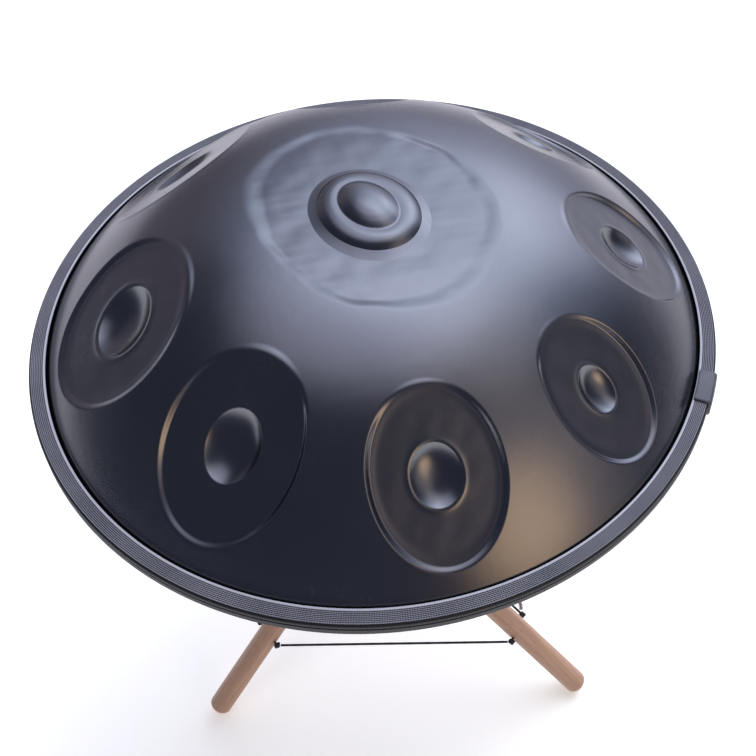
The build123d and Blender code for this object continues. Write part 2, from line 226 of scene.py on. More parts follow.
def mix_colors(tree, factor, a, b, blend="MIX"):
    """Colour mix. The node has one set of sockets for each data type, and only one is enabled."""
    made = new_node(tree, "ShaderNodeMix", data_type="RGBA", blend_type=blend)
    for key, value in (("Factor", factor), ("A", a), ("B", b)):
        socket = [s for s in made.inputs if s.name == key and s.enabled][0]
        if isinstance(value, bpy.types.NodeSocket):
            tree.links.new(value, socket)
        elif key == "Factor":
            socket.default_value = value
        else:
            socket.default_value = (*value, 1.0)
    return [s for s in made.outputs if s.enabled][0]


class Shader:
    """A Principled material with short ways to add the nodes used here."""

    def __init__(self, name):
        self.material = bpy.data.materials.new(name)
        self.material.use_nodes = True
        self.tree = self.material.node_tree
        self.bsdf = self.tree.nodes["Principled BSDF"]
        self.coords = None

    def set(self, **values):
        for key, value in values.items():
            socket = self.bsdf.inputs[key.replace("_", " ")]
            socket.default_value = value
        return self

    def node(self, kind, inputs=None, **settings):
        return new_node(self.tree, kind, inputs, **settings)

    def link(self, source, target):
        self.tree.links.new(source, target)

    def object_coords(self):
        if self.coords is None:
            self.coords = self.node("ShaderNodeTexCoord").outputs["Object"]
        return self.coords

    def scaled(self, scale):
        mapping = self.node("ShaderNodeMapping", {"Vector": self.object_coords()})
        mapping.inputs["Scale"].default_value = scale
        return mapping.outputs["Vector"]

    def noise(self, scale, detail=4.0, roughness=0.55, stretch=None, distortion=0.0):
        vector = self.scaled(stretch) if stretch else self.object_coords()
        return self.node("ShaderNodeTexNoise", {
            "Vector": vector, "Scale": scale, "Detail": detail,
            "Roughness": roughness, "Distortion": distortion,
        }).outputs["Fac"]

    def ramp(self, source, stops, interpolation="LINEAR"):
        made = self.node("ShaderNodeValToRGB", {"Fac": source})
        made.color_ramp.interpolation = interpolation
        elements = made.color_ramp.elements
        while len(elements) < len(stops):
            elements.new(0.5)
        for element, (position, color) in zip(elements, stops):
            element.position = position
            if isinstance(color, (int, float)):
                color = (color, color, color)
            element.color = (*color, 1.0)
        return made.outputs["Color"]

    def math(self, operation, a, b=0.0, clamp=False):
        made = self.node("ShaderNodeMath", {0: a, 1: b}, operation=operation, use_clamp=clamp)
        return made.outputs["Value"]

    def mix(self, factor, a, b, blend="MIX"):
        return mix_colors(self.tree, factor, a, b, blend)

    def color(self, source):
        self.link(source, self.bsdf.inputs["Base Color"])
        return self

    def rough(self, source):
        self.link(source, self.bsdf.inputs["Roughness"])
        return self

    def bump(self, *layers):
        """Each layer is (height source, strength, distance in metres)."""
        normal = None
        for source, strength, distance in layers:
            made = self.node("ShaderNodeBump", {
                "Height": source, "Strength": strength, "Distance": distance,
            })
            if normal is not None:
                self.link(normal, made.inputs["Normal"])
            normal = made.outputs["Normal"]
        self.link(normal, self.bsdf.inputs["Normal"])
        return self


# ---------------------------------------------------------------- materials
RIB_DEPTH = 0.0009  # grooves between the trim's ribs
TRIM_TICKS = 1000.0  # fine marks across the ribs, round the whole rim


def steel_material(name, base, blotch, roughness):
    """Nitrided steel: blue-grey, semi-gloss, with faint blotches, dust and an uneven sheen."""
    s = Shader(name)
    s.set(Metallic=1.0, Specular_Tint=(0.70, 0.68, 0.71, 1.0))
    cloud = s.noise(9.0, 5.0, 0.6)
    fine = s.noise(140.0, 3.0, 0.6)
    specks = s.noise(700.0, 1.0, 0.5)
    color = s.ramp(cloud, [(0.30, base), (0.72, blotch)])
    dust = s.ramp(specks, [(0.80, 0.0), (0.83, 1.0)])
    dust_amount = s.math("MULTIPLY", dust, 0.25)
    color = s.mix(dust_amount, color, (0.62, 0.60, 0.60))
    s.color(color)
    low, high = roughness
    rough = s.ramp(cloud, [(0.25, low), (0.75, high)])
    rough = s.math("ADD", rough, s.math("MULTIPLY", s.math("SUBTRACT", fine, 0.5), 0.03))
    s.rough(rough)
    s.bump((cloud, 0.05, 0.008))
    return s.material


def rubber_material(name, base, light, roughness, grain=700.0):
    s = Shader(name)
    cloud = s.noise(30.0, 4.0, 0.6)
    fine = s.noise(grain, 2.0, 0.6)
    s.color(s.ramp(cloud, [(0.3, base), (0.75, light)]))
    s.rough(s.ramp(fine, [(0.2, roughness - 0.08), (0.8, roughness + 0.08)]))
    s.bump((fine, 0.25, 0.0004))
    return s.material


def trim_material():
    """Slate-grey extruded rubber: paler rib tops with fine radial ticks and a painted highlight along the
    inner lip; the grooves, side and underside are near-black painted shade.
    """
    s = Shader("trim_rubber")
    parts = s.node("ShaderNodeSeparateXYZ", {"Vector": s.object_coords()})
    turn = s.math("ARCTAN2", parts.outputs["Y"], parts.outputs["X"])
    ticks = s.math("SINE", s.math("MULTIPLY", turn, TRIM_TICKS))
    ticks = s.math("MULTIPLY_ADD", ticks, 0.5)
    # painted shade: a height mask, 1 on the rib tops and 0 below them, that colours the grooves, outer side
    # and underside near-black
    wear_and_painted_shade = s.math("SUBTRACT", parts.outputs["Z"], RIM_Z + TRIM_HALF - RIB_DEPTH)
    wear_and_painted_shade = s.math("DIVIDE", wear_and_painted_shade, RIB_DEPTH, clamp=True)
    flat = s.mix(1.0, s.object_coords(), (1.0, 1.0, 0.0), "MULTIPLY")
    radius = s.node("ShaderNodeVectorMath", {0: flat}, operation="LENGTH").outputs["Value"]
    # painted highlight: a pale ring painted along the trim's inner lip
    lip = s.math("GREATER_THAN", TRIM_INNER_R + 0.0011, radius)
    cloud = s.noise(24.0, 5.0, 0.6)
    fine = s.noise(900.0, 2.0, 0.6)
    top = s.ramp(cloud, [(0.25, (0.175, 0.178, 0.215)), (0.8, (0.285, 0.288, 0.330))])
    top = s.mix(s.ramp(ticks, [(0.3, 0.45), (0.6, 0.0)]), top, (0.050, 0.052, 0.064))
    top = s.mix(lip, top, (0.42, 0.43, 0.48))
    # near-black painted shade below the rib tops, the slate-grey rubber on them
    s.color(s.mix(s.ramp(wear_and_painted_shade, [(0.15, 0.0), (0.85, 1.0)]), (0.007, 0.007, 0.009), top))
    s.rough(s.ramp(fine, [(0.2, 0.42), (0.8, 0.60)]))
    s.bump((ticks, 0.35, 0.0004), (fine, 0.2, 0.0003))
    return s.material


def wood_material():
    """Oiled beech: pinkish brown, fine grain along the dowel and short dark flecks."""
    s = Shader("beech_wood")
    grain = s.noise(22.0, 6.0, 0.62, stretch=(9.0, 9.0, 0.45), distortion=0.4)
    bands = s.noise(5.0, 3.0, 0.5, stretch=(14.0, 14.0, 0.30), distortion=0.2)
    flecks = s.noise(60.0, 2.0, 0.5, stretch=(22.0, 22.0, 2.2))
    pores = s.noise(200.0, 2.0, 0.5, stretch=(12.0, 12.0, 0.8))
    color = s.ramp(grain, [(0.25, (0.37, 0.20, 0.120)), (0.5, (0.53, 0.32, 0.205)),
                           (0.8, (0.66, 0.44, 0.30))])
    color = s.mix(s.ramp(bands, [(0.35, 0.0), (0.7, 0.45)]), color, (0.42, 0.26, 0.19))
    color = s.mix(s.ramp(flecks, [(0.62, 0.0), (0.70, 0.55)]), color, (0.27, 0.15, 0.10))
    s.color(color)
    s.rough(s.ramp(grain, [(0.2, 0.42), (0.8, 0.55)]))
    s.bump((pores, 0.12, 0.0005), (grain, 0.10, 0.001))
    return s.material


def metal_material(name, base, roughness):
    s = Shader(name)
    s.set(Metallic=1.0)
    cloud = s.noise(60.0, 4.0, 0.6)
    scratch = s.noise(400.0, 2.0, 0.5, stretch=(1.0, 1.0, 9.0))
    dark = tuple(0.75 * c for c in base)
    s.color(s.ramp(cloud, [(0.3, dark), (0.7, base)]))
    s.rough(s.ramp(scratch, [(0.3, roughness - 0.07), (0.7, roughness + 0.08)]))
    s.bump((scratch, 0.08, 0.0002))
    return s.material


def cord_material():
    """Black braided cord: two crossing spirals of yarn make the diamond pattern."""
    s = Shader("cord_black")
    parts = s.node("ShaderNodeSeparateXYZ", {"Vector": s.object_coords()})
    turn = s.math("ARCTAN2", parts.outputs["Y"], parts.outputs["X"])
    along = s.math("MULTIPLY", parts.outputs["Z"], 2600.0)
    around = s.math("MULTIPLY", turn, 4.0)
    one = s.math("SINE", s.math("ADD", along, around))
    other = s.math("SINE", s.math("SUBTRACT", along, around))
    braid = s.math("MAXIMUM", one, other)
    fuzz = s.noise(1500.0, 2.0, 0.6)
    s.color(s.ramp(s.math("MULTIPLY_ADD", braid, 0.5), [(0.2, (0.008, 0.008, 0.009)),
                                                        (0.9, (0.030, 0.030, 0.033))]))
    s.rough(s.ramp(fuzz, [(0.2, 0.65), (0.8, 0.85)]))
    s.bump((braid, 0.6, 0.0003), (fuzz, 0.2, 0.0001))
    return s.material


STEEL_TOP = steel_material(
    "nitrided_steel_top", (0.185, 0.188, 0.196), (0.205, 0.207, 0.214), (0.23, 0.29))
STEEL_BOTTOM = steel_material(
    "nitrided_steel_bottom", (0.18, 0.185, 0.20), (0.21, 0.215, 0.23), (0.28, 0.36))
TRIM = trim_material()
CLIP = rubber_material("clip_rubber", (0.050, 0.052, 0.062), (0.085, 0.088, 0.102), 0.36)
TIP = rubber_material("tip_rubber", (0.016, 0.016, 0.018), (0.030, 0.030, 0.032), 0.6)
NYLON = rubber_material("sleeve_nylon", (0.02, 0.02, 0.02), (0.035, 0.035, 0.036), 0.45)
GLUE = rubber_material("adhesive", (0.012, 0.012, 0.012), (0.02, 0.02, 0.02), 0.3)
ZINC = metal_material("zinc_steel", (0.62, 0.62, 0.60), 0.30)
CRIMP = metal_material("ferrule_metal", (0.60, 0.60, 0.62), 0.35)
WOOD = wood_material()
CORD = cord_material()


# ---------------------------------------------------------------- top shell
# Azimuth, radius of the centre, half length up the slope, half width, dimple halves
TONE_FIELDS = [
    (139.6, 0.2030, 0.0580, 0.0660, 0.0260, 0.0300),
    (192.1, 0.1931, 0.0650, 0.0605, 0.0280, 0.0275),
    (237.3, 0.1926, 0.0640, 0.0479, 0.0259, 0.0203),
    (279.4, 0.1988, 0.0585, 0.0432, 0.0217, 0.0176),
    (319.0, 0.2029, 0.0546, 0.0399, 0.0186, 0.0136),
    (0.4, 0.1993, 0.0600, 0.0448, 0.0225, 0.0185),
    (43.4, 0.2030, 0.0580, 0.0510, 0.0215, 0.0200),
    (92.0, 0.2000, 0.0570, 0.0500, 0.0220, 0.0190),
]
CROWN_CURVE_R = 0.258  # the crown's radius of curvature up the slope, at the tone fields
FIELD_STEP = 0.0008  # a field's two ends lie this far under the crown
SHOULDER = 0.10  # width of a field's sloped edge, as a share of the field's size
DIMPLE_SHARE = 0.29  # a dimple's depth over its mean half width
DIMPLE_POWER = 2.5  # over 2 makes its middle flatter and its edge steeper
DIMPLE_LIP = 0.00035  # height of the faint raised ring round a dimple
DIMPLE_LIP_AT, DIMPLE_LIP_WIDTH = 1.09, 0.07  # its place and width over the dimple's size
FIELD_RIPPLE = (0.00011, 0.024, 20)  # height, pitch and first seed of a field's unevenness
FIELD_TURN_UP = 0.0003  # a field's flat rises by this towards its edge
FIELD_PROBE = 0.020  # the crown's slope at a field is measured this far to each side
HOLE_MARGIN = 0.035  # how far the crown's own grid keeps from a field's rings, over its size
# Rings of a field's own mesh: over the dimple, from there to the edge, and over the edge
DIMPLE_RINGS = [0.10, 0.22, 0.34, 0.46, 0.58, 0.69, 0.79, 0.87, 0.93, 0.97, 0.99, 1.01,
                1.03, 1.06, 1.09, 1.12, 1.16, 1.22, 1.32]
FLAT_RINGS = [0.10, 0.22, 0.34, 0.46, 0.58, 0.69, 0.79, 0.87, 0.93, 0.97]
SHOULDER_RINGS = [0.99, 1.0, 1.01, 1.02, 1.032, 1.044, 1.056, 1.068, 1.08, 1.092, 1.105, 1.12, 1.14]
PATCH_STEPS = 120
CROWN_STEPS = 400
INNER_STEPS = 200
INNER_DING_RADII = [0.010, 0.022, 0.036, 0.048]
INNER_START, INNER_PITCH, INNER_ROWS = 0.0545, 0.0030, 66
INNER_PROBE = 0.002  # the inner face's slope is measured this far to each side
DING_END = 0.047  # inside this radius the wall's thickness is taken straight down
INNER_GROWTH = 1.09  # the inner face's ovals are wider, so the coarse inner grid stays inside the wall


def spline_through(points, flat_start=False):
    """Smooth curve through points sorted by their first value, with continuous curvature."""
    x = np.array([p[0] for p in points])
    y = np.array([p[1] for p in points])
    step = np.diff(x)
    slope = np.diff(y) / step
    count = len(x)
    system = np.zeros((count, count))
    right = np.zeros(count)
    system[0, 0] = 1.0
    system[-1, -1] = 1.0
    if flat_start:
        system[0, :2] = (2.0, 1.0)
        right[0] = 6 * slope[0] / step[0]
    for i in range(1, count - 1):
        system[i, i - 1:i + 2] = (step[i - 1], 2 * (step[i - 1] + step[i]), step[i])
        right[i] = 6 * (slope[i] - slope[i - 1])
    bend = np.linalg.solve(system, right)

    def value(r):
        r = np.clip(r, x[0], x[-1])
        i = np.clip(np.searchsorted(x, r, side="right") - 1, 0, count - 2)
        h, t, rest = step[i], r - x[i], x[i + 1] - r
        return ((bend[i] * rest**3 + bend[i + 1] * t**3) / (6 * h)
                + (y[i] / h - bend[i] * h / 6) * rest + (y[i + 1] / h - bend[i + 1] * h / 6) * t)

    return value


def monotone_through(points):
    """Curve through points that never overshoots them: its tangents are harmonic means of slopes."""
    x = np.array([p[0] for p in points])
    y = np.array([p[1] for p in points])
    step = np.diff(x)
    slope = np.diff(y) / step
    tangent = np.zeros_like(x)
    tangent[1:-1] = np.where(slope[:-1] * slope[1:] > 0,
                             2 * slope[:-1] * slope[1:] / (slope[:-1] + slope[1:] + 1e-12), 0)

    def value(r):
        r = np.clip(r, x[0], x[-1])
        i = np.clip(np.searchsorted(x, r, side="right") - 1, 0, len(x) - 2)
        h = step[i]
        t = (r - x[i]) / h
        return ((2 * t**3 - 3 * t**2 + 1) * y[i] + (t**3 - 2 * t**2 + t) * h * tangent[i]
                + (3 * t**2 - 2 * t**3) * y[i + 1] + (t**3 - t**2) * h * tangent[i + 1])

    return value


crown_height = spline_through(CROWN, flat_start=True)
ding_height = monotone_through(DING)
oval_x, oval_y, oval_stretch, oval_squeeze = (
    monotone_through([(row[0], row[column]) for row in OVALS]) for column in range(1, 5)
)


def ring_point(ring, turn):
    """Plan position on one of the crown's oval rings."""
    along = ring * oval_stretch(ring) * np.cos(turn - OVAL_AZIMUTH)
    across = ring * oval_squeeze(ring) * np.sin(turn - OVAL_AZIMUTH)
    c, s = math.cos(OVAL_AZIMUTH), math.sin(OVAL_AZIMUTH)
    return oval_x(ring) + along * c - across * s, oval_y(ring) + along * s + across * c


def ring_at(x, y):
    """The oval ring that a plan position lies on, found in a few fixed-point steps."""
    c, s = math.cos(OVAL_AZIMUTH), math.sin(OVAL_AZIMUTH)
    ring = np.hypot(x, y)
    for _ in range(8):
        dx, dy = x - oval_x(ring), y - oval_y(ring)
        ring = np.hypot((dx * c + dy * s) / oval_stretch(ring), (dy * c - dx * s) / oval_squeeze(ring))
    return ring


def smooth_step(edge0, edge1, value):
    t = np.clip((value - edge0) / (edge1 - edge0), 0, 1)
    return t * t * (3 - 2 * t)


def ripple(x, y, scale, seed):
    """Smooth pseudo-random height in -1..1 from a few sine waves in fixed random directions."""
    rng = np.random.default_rng(seed)
    total = np.zeros_like(x)
    for _ in range(9):
        angle, phase = rng.uniform(0, 2 * math.pi, 2)
        pitch = scale * rng.uniform(0.6, 1.7)
        total += np.sin((x * math.cos(angle) + y * math.sin(angle)) * 2 * math.pi / pitch + phase)
    return total / 4.5


def waves(turn, rows):
    """Sum of sine waves round a ring, each (height, number of waves, phase)."""
    return sum(height * np.sin(count * turn + phase) for height, count, phase in rows)


def crown_point_heights(x, y):
    """Height of the top shell without its tone fields."""
    r = np.hypot(x, y)
    ring = ring_at(x, y)
    crown = crown_height(r)
    on_foot = smooth_step(*DING_WALL, ring)
    z = np.where(ring < DING[-1][0], ding_height(ring) + (crown - CROWN_MIDDLE) * on_foot, crown)
    a = np.arctan2(y, x)
    # the ding's own tone field: a shallow flat disc with a wide uneven hammered edge
    edge = PLATEAU_R + waves(a, PLATEAU_EDGE_WAVES)
    soft = PLATEAU_EDGE_WIDTH + waves(a, PLATEAU_WIDTH_WAVES)
    inside = smooth_step(edge + soft, edge - soft, ring)
    outside_ding = smooth_step(*DING_FOOT, ring)
    z = z - PLATEAU_DEPTH * np.where(ring < DING[-1][0], 0.0, inside)
    for height, pitch, seed in HAMMER_MARKS:
        z = z + height * ripple(x, y, pitch, seed) * inside * outside_ding
    # soft sheet unevenness over the whole crown
    height, pitch, seed = SHEET_WAVES
    z = z + height * ripple(x, y, pitch, seed) * outside_ding * smooth_step(*SHEET_WAVES_END, r)
    return z


def field_frame(field):
    """Centre of a tone field on the crown, with its directions down the slope, across and out."""
    azimuth, radius = math.radians(field[0]), field[1]
    fall = float(crown_height(radius - FIELD_PROBE) - crown_height(radius + FIELD_PROBE))
    slope = fall / (2 * FIELD_PROBE)
    radial = np.array([math.cos(azimuth), math.sin(azimuth), 0.0])
    out = radial * slope + np.array([0.0, 0.0, 1.0])
    out = out / np.linalg.norm(out)
    across = np.array([-math.sin(azimuth), math.cos(azimuth), 0.0])
    down_slope = np.cross(across, out)
    centre = radial * radius + np.array([0.0, 0.0, float(crown_height(radius))])
    return centre, down_slope, across, out


def field_level(u, v, crown_level, field, number):
    """Height of the shell over a tone field's own plane, at u down the slope and v across."""
    _, _, along, across, dimple_along, dimple_across = field
    depth = along**2 / (2 * CROWN_CURVE_R) + FIELD_STEP
    rho = np.sqrt((u / along) ** 2 + (v / across) ** 2)
    height, pitch, seed = FIELD_RIPPLE
    flat = -depth + height * ripple(u, v, pitch, seed + number) * smooth_step(1.0, 0.6, rho)
    flat = flat + FIELD_TURN_UP * smooth_step(0.90, 1.0, rho)
    rho_d = np.sqrt((u / dimple_along) ** 2 + (v / dimple_across) ** 2)
    dimple_depth = DIMPLE_SHARE * math.sqrt(dimple_along * dimple_across)
    bowl = -dimple_depth * np.clip(1 - rho_d**DIMPLE_POWER, 0, 1)
    lip = DIMPLE_LIP * np.exp(-(((rho_d - DIMPLE_LIP_AT) / DIMPLE_LIP_WIDTH) ** 2))
    blend = smooth_step(1.0, 1.0 + SHOULDER, rho)
    return (flat + bowl + lip) * (1 - blend) + crown_level * blend


def crown_level_at(u, v, frame_of_field):
    """Height of the plain crown over a field's plane, found in a few fixed-point steps."""
    centre, u_dir, v_dir, n_dir = frame_of_field
    w = np.zeros_like(u)
    for _ in range(6):
        point = centre + u[:, None] * u_dir + v[:, None] * v_dir + w[:, None] * n_dir
        w = w + (crown_point_heights(point[:, 0], point[:, 1]) - point[:, 2]) * n_dir[2]
    return w


def patch_rings(field):
    """Semi-axes of the rings of a field's own mesh, from the dimple's centre out."""
    _, _, along, across, dimple_along, dimple_across = field
    rings = [(s * dimple_along, s * dimple_across) for s in DIMPLE_RINGS]
    for t in FLAT_RINGS:
        rings.append((
            dimple_along * DIMPLE_RINGS[-1] * (1 - t) + along * t,
            dimple_across * DIMPLE_RINGS[-1] * (1 - t) + across * t,
        ))
    rings += [(s * along, s * across) for s in SHOULDER_RINGS]
    return rings


def crown_radii():
    spans = [
        (0.0030, 0.0140, 5), (0.0140, 0.0245, 14), (0.0245, 0.0385, 11), (0.0385, 0.0470, 14),
        (0.0470, 0.0790, 11), (0.0790, 0.1010, 19), (0.1010, 0.2530, 54), (0.2530, DOME_BASE_R, 3),
    ]
    radii = []
    for start, end, count in spans:
        radii += [start + (end - start) * k / count for k in range(count)]
    return radii + [DOME_BASE_R]


def zip_loops(outer, inner, verts, centre):
    """Triangles between two closed loops of vertex numbers that both go round a centre."""
    def angles(loop):
        found = [math.atan2(verts[i][1] - centre[1], verts[i][0] - centre[0]) for i in loop]
        first = min(range(len(loop)), key=lambda k: found[k])
        loop = loop[first:] + loop[:first]
        found = found[first:] + found[:first]
        turned = [found[0]]
        for value in found[1:]:
            turned.append(max(value, turned[-1] + 1e-9))
        return loop, turned

    outer, outer_angle = angles(outer)
    inner, inner_angle = angles(inner)
    outer_angle.append(outer_angle[0] + 2 * math.pi)
    inner_angle.append(inner_angle[0] + 2 * math.pi)
    faces = []
    i = j = 0
    while i < len(outer) or j < len(inner):
        step_outer = j == len(inner) or (i < len(outer) and outer_angle[i + 1] <= inner_angle[j + 1])
        o, n = outer[i % len(outer)], inner[j % len(inner)]
        if step_outer:
            faces.append((o, outer[(i + 1) % len(outer)], n))
            i += 1
        else:
            faces.append((o, inner[(j + 1) % len(inner)], n))
            j += 1
    return faces


def boundary_loop(faces):
    """The vertex loop round a set of quads, in order."""
    edges = {}
    for face in faces:
        for a, b in zip(face, face[1:] + face[:1]):
            if (b, a) in edges:
                del edges[(b, a)]
            else:
                edges[(a, b)] = True
    following = dict(edges.keys())
    start = next(iter(following))
    loop = [start]
    while following[loop[-1]] != start:
        loop.append(following[loop[-1]])
    return loop


def outer_crown():
    """Polar grid over the crown and ding, with each tone field's own rings set into it."""
    radii = crown_radii()
    steps = CROWN_STEPS
    turn = np.arange(steps) * 2 * math.pi / steps
    rr, aa = np.meshgrid(np.array(radii), turn, indexing="ij")
    x, y = (part.ravel() for part in ring_point(rr, aa))
    z = crown_point_heights(x, y)
    grid = np.stack([x, y, z], axis=1)
    owner = np.full(len(grid), -1)
    frames = [field_frame(field) for field in TONE_FIELDS]
    for number, (field, own) in enumerate(zip(TONE_FIELDS, frames)):
        rel = grid - own[0]
        size = np.sqrt((rel @ own[1] / field[2]) ** 2 + (rel @ own[2] / field[3]) ** 2)
        owner[size < SHOULDER_RINGS[-1] + HOLE_MARGIN] = number
    verts = [(0.0, 0.0, float(crown_point_heights(np.zeros(1), np.zeros(1))[0]))]
    verts += [tuple(p) for p in grid]
    number_of = 1 + np.arange(len(grid)).reshape(rr.shape)
    owner = owner.reshape(rr.shape)
    faces = [(0, int(number_of[0, k]), int(number_of[0, (k + 1) % steps])) for k in range(steps)]
    holes = [[] for _ in TONE_FIELDS]
    for i in range(len(radii) - 1):
        for k in range(steps):
            j = (k + 1) % steps
            corners = [(i, k), (i + 1, k), (i + 1, j), (i, j)]
            face = tuple(int(number_of[c]) for c in corners)
            owners = {int(owner[c]) for c in corners} - {-1}
            if owners:
                holes[owners.pop()].append(face)
            else:
                faces.append(face)
    for number, (field, own) in enumerate(zip(TONE_FIELDS, frames)):
        around = np.arange(PATCH_STEPS) * 2 * math.pi / PATCH_STEPS
        first = len(verts)
        u = np.concatenate([[0.0]] + [a * np.cos(around) for a, _ in patch_rings(field)])
        v = np.concatenate([[0.0]] + [b * np.sin(around) for _, b in patch_rings(field)])
        w = field_level(u, v, crown_level_at(u, v, own), field, number)
        points = own[0] + u[:, None] * own[1] + v[:, None] * own[2] + w[:, None] * own[3]
        verts += [tuple(p) for p in points]
        rings = [[first + 1 + r * PATCH_STEPS + k for k in range(PATCH_STEPS)]
                 for r in range(len(patch_rings(field)))]
        for k in range(PATCH_STEPS):
            faces.append((first, rings[0][k], rings[0][(k + 1) % PATCH_STEPS]))
        for low, high in zip(rings, rings[1:]):
            for k in range(PATCH_STEPS):
                j = (k + 1) % PATCH_STEPS
                faces.append((low[k], high[k], high[j], low[j]))
        faces += zip_loops(boundary_loop(holes[number]), rings[-1], verts, own[0])
    rim_ring = [int(n) for n in number_of[-1]]
    return verts, faces, rim_ring


def ring_of(verts, radius, height, steps):
    first = len(verts)
    for k in range(steps):
        a = 2 * math.pi * k / steps
        verts.append((radius * math.cos(a), radius * math.sin(a), height))
    return list(range(first, first + steps))


def join_rings(faces, low, high):
    for k in range(len(low)):
        j = (k + 1) % len(low)
        faces.append((low[k], high[k], high[j], low[j]))


def inner_points(radii, steps):
    """The crown's inner face on a coarse grid, a wall's thickness under the outer face."""
    turn = np.arange(steps) * 2 * math.pi / steps
    rr, aa = np.meshgrid(np.array(radii), turn, indexing="ij")
    x, y = (part.ravel() for part in ring_point(rr, aa))
    z = crown_point_heights(x, y)
    points = np.stack([x, y, z], axis=1)
    for number, field in enumerate(TONE_FIELDS):
        centre, u_dir, v_dir, n_dir = field_frame(field)
        rel = points - centre
        near = np.linalg.norm(rel, axis=1) < 1.5 * field[2]
        u, v, w = rel[near] @ u_dir, rel[near] @ v_dir, rel[near] @ n_dir
        level = field_level(u / INNER_GROWTH, v / INNER_GROWTH, w, field, number)
        points[near] += (np.minimum(level, w) - w)[:, None] * n_dir
    rise = crown_height(rr.ravel() + INNER_PROBE) - crown_height(rr.ravel() - INNER_PROBE)
    slope = np.where(rr.ravel() > DING_END, rise / (2 * INNER_PROBE), 0.0)
    size = np.sqrt(1 + slope**2)
    points[:, 0] += WALL * slope / size * np.cos(aa.ravel())
    points[:, 1] += WALL * slope / size * np.sin(aa.ravel())
    points[:, 2] -= WALL / size
    return points.reshape(len(radii), steps, 3)


def make_top_shell():
    verts, faces, rim = outer_crown()
    rows = [rim]
    for radius, height in ((FLANGE_R - FLANGE_ROUND, HALF_BOND + WALL), (FLANGE_R, HALF_BOND + WALL / 2),
                           (FLANGE_R - FLANGE_ROUND, HALF_BOND), (DOME_BASE_R - WALL, HALF_BOND)):
        rows.append(ring_of(verts, radius, height, CROWN_STEPS))
    for low, high in zip(rows, rows[1:]):
        join_rings(faces, low, high)
    steps = INNER_STEPS
    share = CROWN_STEPS // steps
    radii = INNER_DING_RADII + [INNER_START + INNER_PITCH * k for k in range(INNER_ROWS)]
    inner = inner_points(radii, steps)
    inner_rows = []
    for row in inner[::-1]:
        first = len(verts)
        verts += [tuple(p) for p in row]
        inner_rows.append(list(range(first, first + steps)))
    for k in range(steps):
        j = (k + 1) % steps
        first = share * k
        fine = rows[-1][first: first + share + 1] if k < steps - 1 else rows[-1][first:] + [rows[-1][0]]
        for a, b in zip(fine, fine[1:]):
            faces.append((a, inner_rows[0][k], b))
        faces.append((fine[-1], inner_rows[0][k], inner_rows[0][j]))
    for low, high in zip(inner_rows, inner_rows[1:]):
        join_rings(faces, low, high)
    first = len(verts)
    verts.append((0.0, 0.0, float(inner[0, 0, 2])))
    last = inner_rows[-1]
    for k in range(steps):
        faces.append((last[k], first, last[(k + 1) % steps]))
    verts = [(x, y, z + RIM_Z) for x, y, z in verts]
    used = sorted({v for face in faces for v in face})
    new_number = {old: new for new, old in enumerate(used)}
    verts = [verts[v] for v in used]
    faces = [[new_number[v] for v in face] for face in faces]
    shell = add_object("top_shell", verts, faces, STEEL_TOP, sharp_degrees=60)
    return finish_piece(shell, "pan", "nitrided_steel_top", "ding_shell")


make_top_shell()


# ---------------------------------------------------------------- bottom shell
GU_BASE_R = 0.2548  # radius of the bowl at the rim's middle plane, as the stand meets it
GU_DEPTH = 0.107  # rim's middle plane to the lowest point of the sphere
PORT_R = 0.050
PORT_LIP_R = 0.007
NECK_HEIGHT = 0.024


def gu_profile(inset):
    """Points from the flange down the bowl, round the port's lip and up its neck."""
    ball = (DOME_BASE_R**2 + GU_DEPTH**2) / (2 * GU_DEPTH)
    centre = ball - GU_DEPTH
    lip_x = PORT_R + PORT_LIP_R
    lip_z = centre - math.sqrt((ball - PORT_LIP_R) ** 2 - lip_x**2)
    lip_angle = math.degrees(math.atan2(lip_z - centre, lip_x))
    top = -HALF_BOND - WALL
    start = math.degrees(math.asin((top - centre) / (ball - inset)))
    points = arc((0, centre), ball - inset, start, lip_angle, 60)
    points += arc((lip_x, lip_z), PORT_LIP_R - inset, lip_angle, -180, 10)[1:]
    points += [(PORT_R + inset, -GU_DEPTH + NECK_HEIGHT - 0.0003)]
    return points


def make_bottom_shell():
    top = -HALF_BOND
    outer = gu_profile(0.0)
    inner = gu_profile(WALL)
    profile = [(inner[0][0], top), (FLANGE_R - FLANGE_ROUND, top), (FLANGE_R, top - WALL / 2)]
    profile += [(FLANGE_R - FLANGE_ROUND, top - WALL)]
    profile += outer
    profile += [(PORT_R + WALL / 2, -GU_DEPTH + NECK_HEIGHT)]
    profile += inner[::-1]
    steps = 300
    profile = [(r, z + RIM_Z) for r, z in profile[::-1]]
    verts, faces = lathe_data(profile, steps, closed=True)
    shell = add_object("bottom_shell", verts, faces, STEEL_BOTTOM, sharp_degrees=50)
    return finish_piece(shell, "pan", "nitrided_steel_bottom", "gu_shell")


make_bottom_shell()


# ---------------------------------------------------------------- rim trim and its sleeve
SLOT_AIR = 0.0001  # between the trim's slot and the flanges
TRIM_RIBS = 7
RIB_SHAPE = ((0.0, 1.0), (0.12, 0.25), (0.24, 0.0), (0.66, 0.0), (0.78, 0.25), (0.90, 1.0))
CLIP_AZIMUTH = 337.0
CLIP_SPAN = 6.4  # degrees of the rim that the sleeve covers
CLIP_WALL = 0.0019
CLIP_GAP = 0.00015  # air between the sleeve and the trim
CLIP_CORNER = 0.0032
CLIP_TUCK = 0.0006  # how far the sleeve's two ends draw in
CLIP_END_ROUND = 0.0012  # over this length from each end


